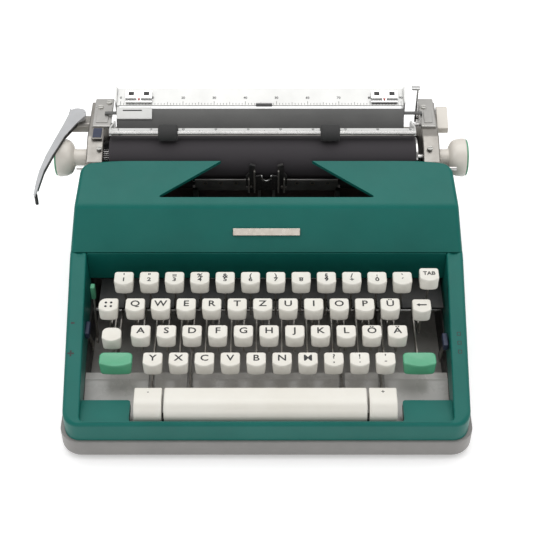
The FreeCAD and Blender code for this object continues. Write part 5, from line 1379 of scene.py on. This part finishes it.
        def lift(y: float) -> float:
            """Height of the sheet at y."""
            return 129.2 + (y - 235.0) * slope

        plate.prism(Axis.X, [(235.3, lift(235.3) + 0.75), (243.2, lift(243.2) + 0.75),
                             (243.2, lift(243.2) + 1.7),
                             (235.3, lift(235.3) + 1.7)], guide.low.x, guide.high.x)
        plate.block((guide.low.x + 5.0, 240.6, lift(240.6) + 1.1),
                    (guide.high.x - 8.0, 241.4, lift(241.4) + 1.85), mark=1)
        plate.done("paper_guide_plate", "paper_guide", [SCALE, DARK_STEEL], ["paper_guide"], edge=0.3)

    def build_scale(self) -> None:
        """Margin scale with its ticks and numbers, posts, and both sliding stops."""
        span = BENCH.span("margin_scale")
        low_x, high_x = -120.0, 110.0
        slope = math.atan2(5.0, 16.0)
        maker = Maker()
        maker.prism(Axis.X, [(245.0, 136.0), (261.0, 141.0), (261.0, 142.0), (245.0, 137.0)], low_x, high_x)
        for x in (span.low.x, span.high.x - 1.4):
            maker.prism(Axis.X, [(248.0, 105.0), (257.0, 105.0), (261.0, 143.6), (259.6, 145.0),
                                 (247.2, 140.0),
                                 (246.0, 138.4)], x, x + 1.4)
        tab = maker.block((-8.5, 244.2, 136.1), (4.5, 245.7, 139.1), mark=1)
        maker.soften(tab, 0.3, 2)
        maker.done("margin_scale_plate", "carriage", [SCALE, BAR_GREY], ["margin_scale"], edge=0.2)
        ticks = Maker()
        count = 91
        for number in range(count):
            x = -117.0 + 2.5 * number
            long = 3.4 if number % 10 == 0 else 2.4 if number % 5 == 0 else 1.6
            fresh = ticks.block((x - 0.16, 0.0, -0.05), (x + 0.16, long, 0.05))
            bmesh.ops.rotate(ticks.bm, verts=fresh, cent=(x, 0, 0), matrix=Matrix.Rotation(slope, 3, "X"))
            bmesh.ops.translate(ticks.bm, verts=fresh, vec=(0, 245.6, 137.0 + 0.6 * math.tan(slope)))
            if number % 10 == 0:
                ticks.write(str(number), 3.0, (x, 252.0, 137.0 + 7.0 * math.tan(slope) + 0.03), lean=slope)
        ticks.done("margin_scale_ticks", "carriage", [INK])
        for side in ("left", "right"):
            self._stop(side)

    @staticmethod
    def _stop(side: str) -> None:
        """One margin stop: bridge, two chrome blocks with dark windows and a red pointer."""
        node = "margin_stop_" + side
        span = BENCH.span(node)
        slope = 5.0 / 16.0

        def lift(y: float, up: float) -> float:
            """Height above the scale at y."""
            return 137.0 + (y - 245.0) * slope + up

        maker = Maker()
        bridge = [(246.0, lift(246.0, 0.8)), (257.0, lift(257.0, 0.8)),
                  (257.0, lift(257.0, 2.2)), (246.0, lift(246.0, 2.2))]
        maker.prism(Axis.X, bridge, span.low.x, span.high.x)
        for low_x, high_x in ((span.low.x, span.low.x + 8.8), (span.high.x - 8.8, span.high.x)):
            block = [(247.5, lift(247.5, 2.0)), (255.0, lift(255.0, 2.0)), (255.0, lift(255.0, 4.2)),
                     (249.0, lift(249.0, 4.4)), (247.5, lift(247.5, 3.2))]
            maker.prism(Axis.X, block, low_x, high_x)
            window = [(250.2, lift(250.2, 4.0)), (253.6, lift(253.6, 4.0)), (253.6, lift(253.6, 4.45)),
                      (250.2, lift(250.2, 4.45))]
            maker.prism(Axis.X, window, low_x + 2.2, high_x - 2.2, mark=1)
        pointer = maker.prism(Axis.Z, [(span.middle.x - 1.3, 249.6), (span.middle.x + 1.3, 249.6),
                                       (span.middle.x, 246.6)],
                              lift(248.0, 2.1), lift(248.0, 2.9), mark=2)
        maker.soften(pointer, 0.1, 1)
        maker.done(node + "_slider", node, [CHROME, DARK_STEEL, SIGNAL], [node], edge=0.25)

    def build_return_lever(self) -> None:
        """Long bright blade with a turned-down inner edge in dark steel as painted shade, hub and hanging
        finger rod.
        """
        span = BENCH.span("return_lever")
        pivot = (-151.5, 240.0)
        top = span.high.z
        maker = Maker()
        outline = [(pivot[0] - 0.4, pivot[1] + 6.8)] + arc(pivot, 7.0, 110.0, 190.0, 6)
        outline += [(-161.2, 226.0), (-166.4, 205.0), (-170.4, 188.0), (-173.2, 170.0), (-174.0, 156.0),
                    (-174.0, 142.4), (-172.6, 142.0), (-171.6, 150.0), (-169.6, 170.0), (-165.4, 188.0),
                    (-158.4, 212.0), (-150.2, 229.0), (-146.5, 235.0)]
        outline += arc(pivot, 7.0, -45.0, 60.0, 7)
        maker.prism(Axis.Z, outline, top - 1.6, top)
        # painted shade: the turned-down edge gets dark steel, so the blade's shaded edge shows as a dark line
        inner = [(-171.6, 150.0), (-169.6, 170.0), (-165.4, 188.0), (-158.4, 212.0), (-150.2, 229.0),
                 (-151.0, 229.4), (-159.2, 212.4), (-166.2, 188.3), (-170.4, 170.2), (-172.3, 150.2)]
        maker.prism(Axis.Z, inner, top - 3.8, top - 0.4, mark=1)
        maker.turned(Axis.Z, [(top - 4.2, 2.6), (top - 4.2, 6.4), (top - 1.2, 6.6), (top - 0.8, 6.2),
                              (top - 0.8, 2.6)], pivot)
        tab = maker.prism(Axis.X, [(233.0, top - 2.0), (246.2, top - 2.0), (246.6, top - 0.4), (240.0, top),
                                   (234.0, top - 0.2)], -158.2, -157.0)
        maker.soften(tab, 0.3, 2)
        finger = maker.rod(Axis.Z, 1.3, span.low.z + 0.2, top - 1.0, (-172.7, 144.0), mark=1, sides=16)
        maker.soften(finger, 0.35, 2, lambda edge: edge.calc_face_angle(0.0) > 1.0)
        maker.done("return_lever_blade", "return_lever", [BLADE, DARK_STEEL], ["return_lever"], edge=0.3)

    def build_small_levers(self) -> None:
        """Line spacing pad, carriage release and paper release."""
        pad = BENCH.span("line_space_selector")
        maker = Maker()
        rim = maker.block(pad.low, (pad.high.x, pad.high.y, pad.high.z - 0.5), mark=1)
        maker.soften(rim, 0.5, 2)
        top = maker.block((pad.low.x + 1.0, pad.low.y + 1.0, pad.low.z + 0.4),
                          (pad.high.x - 1.0, pad.high.y - 1.0, pad.high.z))
        maker.soften(top, 0.5, 3)
        maker.done("spacing_pad", "line_space_selector", [NAVY, CASTING], ["line_space_selector"])
        release = BENCH.span("carriage_release_lever")
        lever = Maker()
        outline = [(236.0, 116.0), (236.4, 120.6)] + arc((255.0, 124.6), 2.8, 110.0, 0.0, 5)
        outline += [(258.0, 118.0), (250.0, 110.0), (244.0, 110.0)]
        shape = lever.prism(Axis.X, outline, 137.6, release.high.x)
        lever.soften(shape, 1.2, 3)
        lever.rod(Axis.X, 1.5, release.low.x, 138.6, (247.0, 112.0), mark=1, sides=16)
        lever.done("release_tab", "carriage_release", [KNOB, SHAFT], ["carriage_release_lever"])
        paper = BENCH.span("paper_release_lever")
        arm = Maker()
        arm.prism(Axis.X, [(253.2, 113.4)] + arc((256.0, 116.0), 3.0, 220.0, 350.0, 5)
                  + [(257.0, 146.5), (254.4, 146.5)], 120.8, 122.2)
        tab = arm.block((paper.low.x, 252.4, 146.0), (123.0, 257.0, paper.high.z))
        arm.soften(tab, 0.5, 2)
        arm.rod(Axis.X, 1.5, 120.8, paper.high.x, (256.0, 116.0), mark=1, sides=16)
        arm.done("paper_release_arm", "paper_release", [CHROME, SHAFT], ["paper_release_lever"], edge=0.2)

    def build(self) -> None:
        """Make and dress the carriage."""
        self.build_castings()
        self.build_platen()
        self.build_bail()
        self.build_table()
        self.build_scale()
        self.build_return_lever()
        self.build_small_levers()
        dress(SCREW, "carriage_screws")
        dress(ROLLER, "feed_rollers")


# ---------------------------------------------------------------- studio

@dataclass
class Studio:
    """Pale floor, soft lights and the camera."""

    lens: float = 85.4
    eye: Point = (0.0, -562.8, 762.2)
    elevation: float = 45.0
    floor_size: float = 12.0

    def build_floor(self) -> None:
        """Wide pale floor under the feet."""
        maker = bmesh.new()
        bmesh.ops.create_grid(maker, x_segments=2, y_segments=2, size=self.floor_size / 2)
        mesh = bpy.data.meshes.new("floor")
        maker.to_mesh(mesh)
        maker.free()
        paper = FLOOR.material()
        shader = paper.node_tree.nodes["Principled BSDF"]
        shader.inputs["Emission Color"].default_value = (1.0, 1.0, 1.0, 1.0)
        shader.inputs["Emission Strength"].default_value = 0.3
        mesh.materials.append(paper)
        floor = bpy.data.objects.new("floor", mesh)
        bpy.context.scene.collection.objects.link(floor)

    def add_light(self, name: str, place: Point, size: Flat, power: float, target: Point) -> None:
        """Add one soft rectangular light that faces a target, all in metres."""
        light = bpy.data.lights.new(name, "AREA")
        light.shape = "RECTANGLE"
        light.size, light.size_y = size
        light.energy = power
        lamp = bpy.data.objects.new(name, light)
        lamp.location = place
        facing = Vector(target) - Vector(place)
        lamp.rotation_euler = facing.to_track_quat("-Z", "Y").to_euler()
        bpy.context.scene.collection.objects.link(lamp)

    def build_lights(self) -> None:
        """Large soft light overhead, weaker ones at the sides and in front."""
        self.add_light("overhead", (0.0, 0.35, 1.9), (2.6, 1.8), 31.0, (0.0, 0.0, 0.05))
        self.add_light("left_side", (-1.7, -0.3, 1.1), (1.2, 1.2), 7.0, (0.0, 0.0, 0.05))
        self.add_light("right_side", (1.7, -0.2, 1.1), (1.2, 1.2), 6.0, (0.0, 0.0, 0.05))
        self.add_light("back_fill", (0.0, 1.9, 1.7), (3.0, 1.6), 7.0, (0.0, 0.0, 0.1))
        self.add_light("front_fill", (0.0, -1.9, 0.9), (1.8, 0.9), 5.0, (0.0, 0.0, 0.05))
        world = bpy.data.worlds.new("studio")
        world.use_nodes = True
        world.node_tree.nodes["Background"].inputs["Color"].default_value = (1.0, 1.0, 1.0, 1.0)
        world.node_tree.nodes["Background"].inputs["Strength"].default_value = 0.34
        bpy.context.scene.world = world
        bpy.context.scene.view_settings.view_transform = "Standard"

    def build_camera(self) -> None:
        """Camera in front and above, looking down at the keyboard and the carriage."""
        camera = bpy.data.cameras.new("camera")
        camera.lens = self.lens
        camera.sensor_width = 36.0
        camera.clip_start = 0.05
        holder = bpy.data.objects.new("camera", camera)
        holder.location = BENCH.to_frame() @ Vector(self.eye)
        holder.rotation_euler = (math.radians(90.0 - self.elevation), 0.0, 0.0)
        bpy.context.scene.collection.objects.link(holder)
        bpy.context.scene.camera = holder

    def build(self) -> None:
        """Set up the studio."""
        self.build_floor()
        self.build_lights()
        self.build_camera()


def main() -> None:
    """Build every sub-assembly, then the studio."""
    logging.basicConfig(level=logging.INFO, format="%(name)s: %(message)s")
    for assembly in (Housing(), RibbonCover(), KeyWork(), Works(), Carriage(), Studio()):
        LOG.info("building %s", type(assembly).__name__)
        assembly.build()


if __name__ == "__main__":
    main()
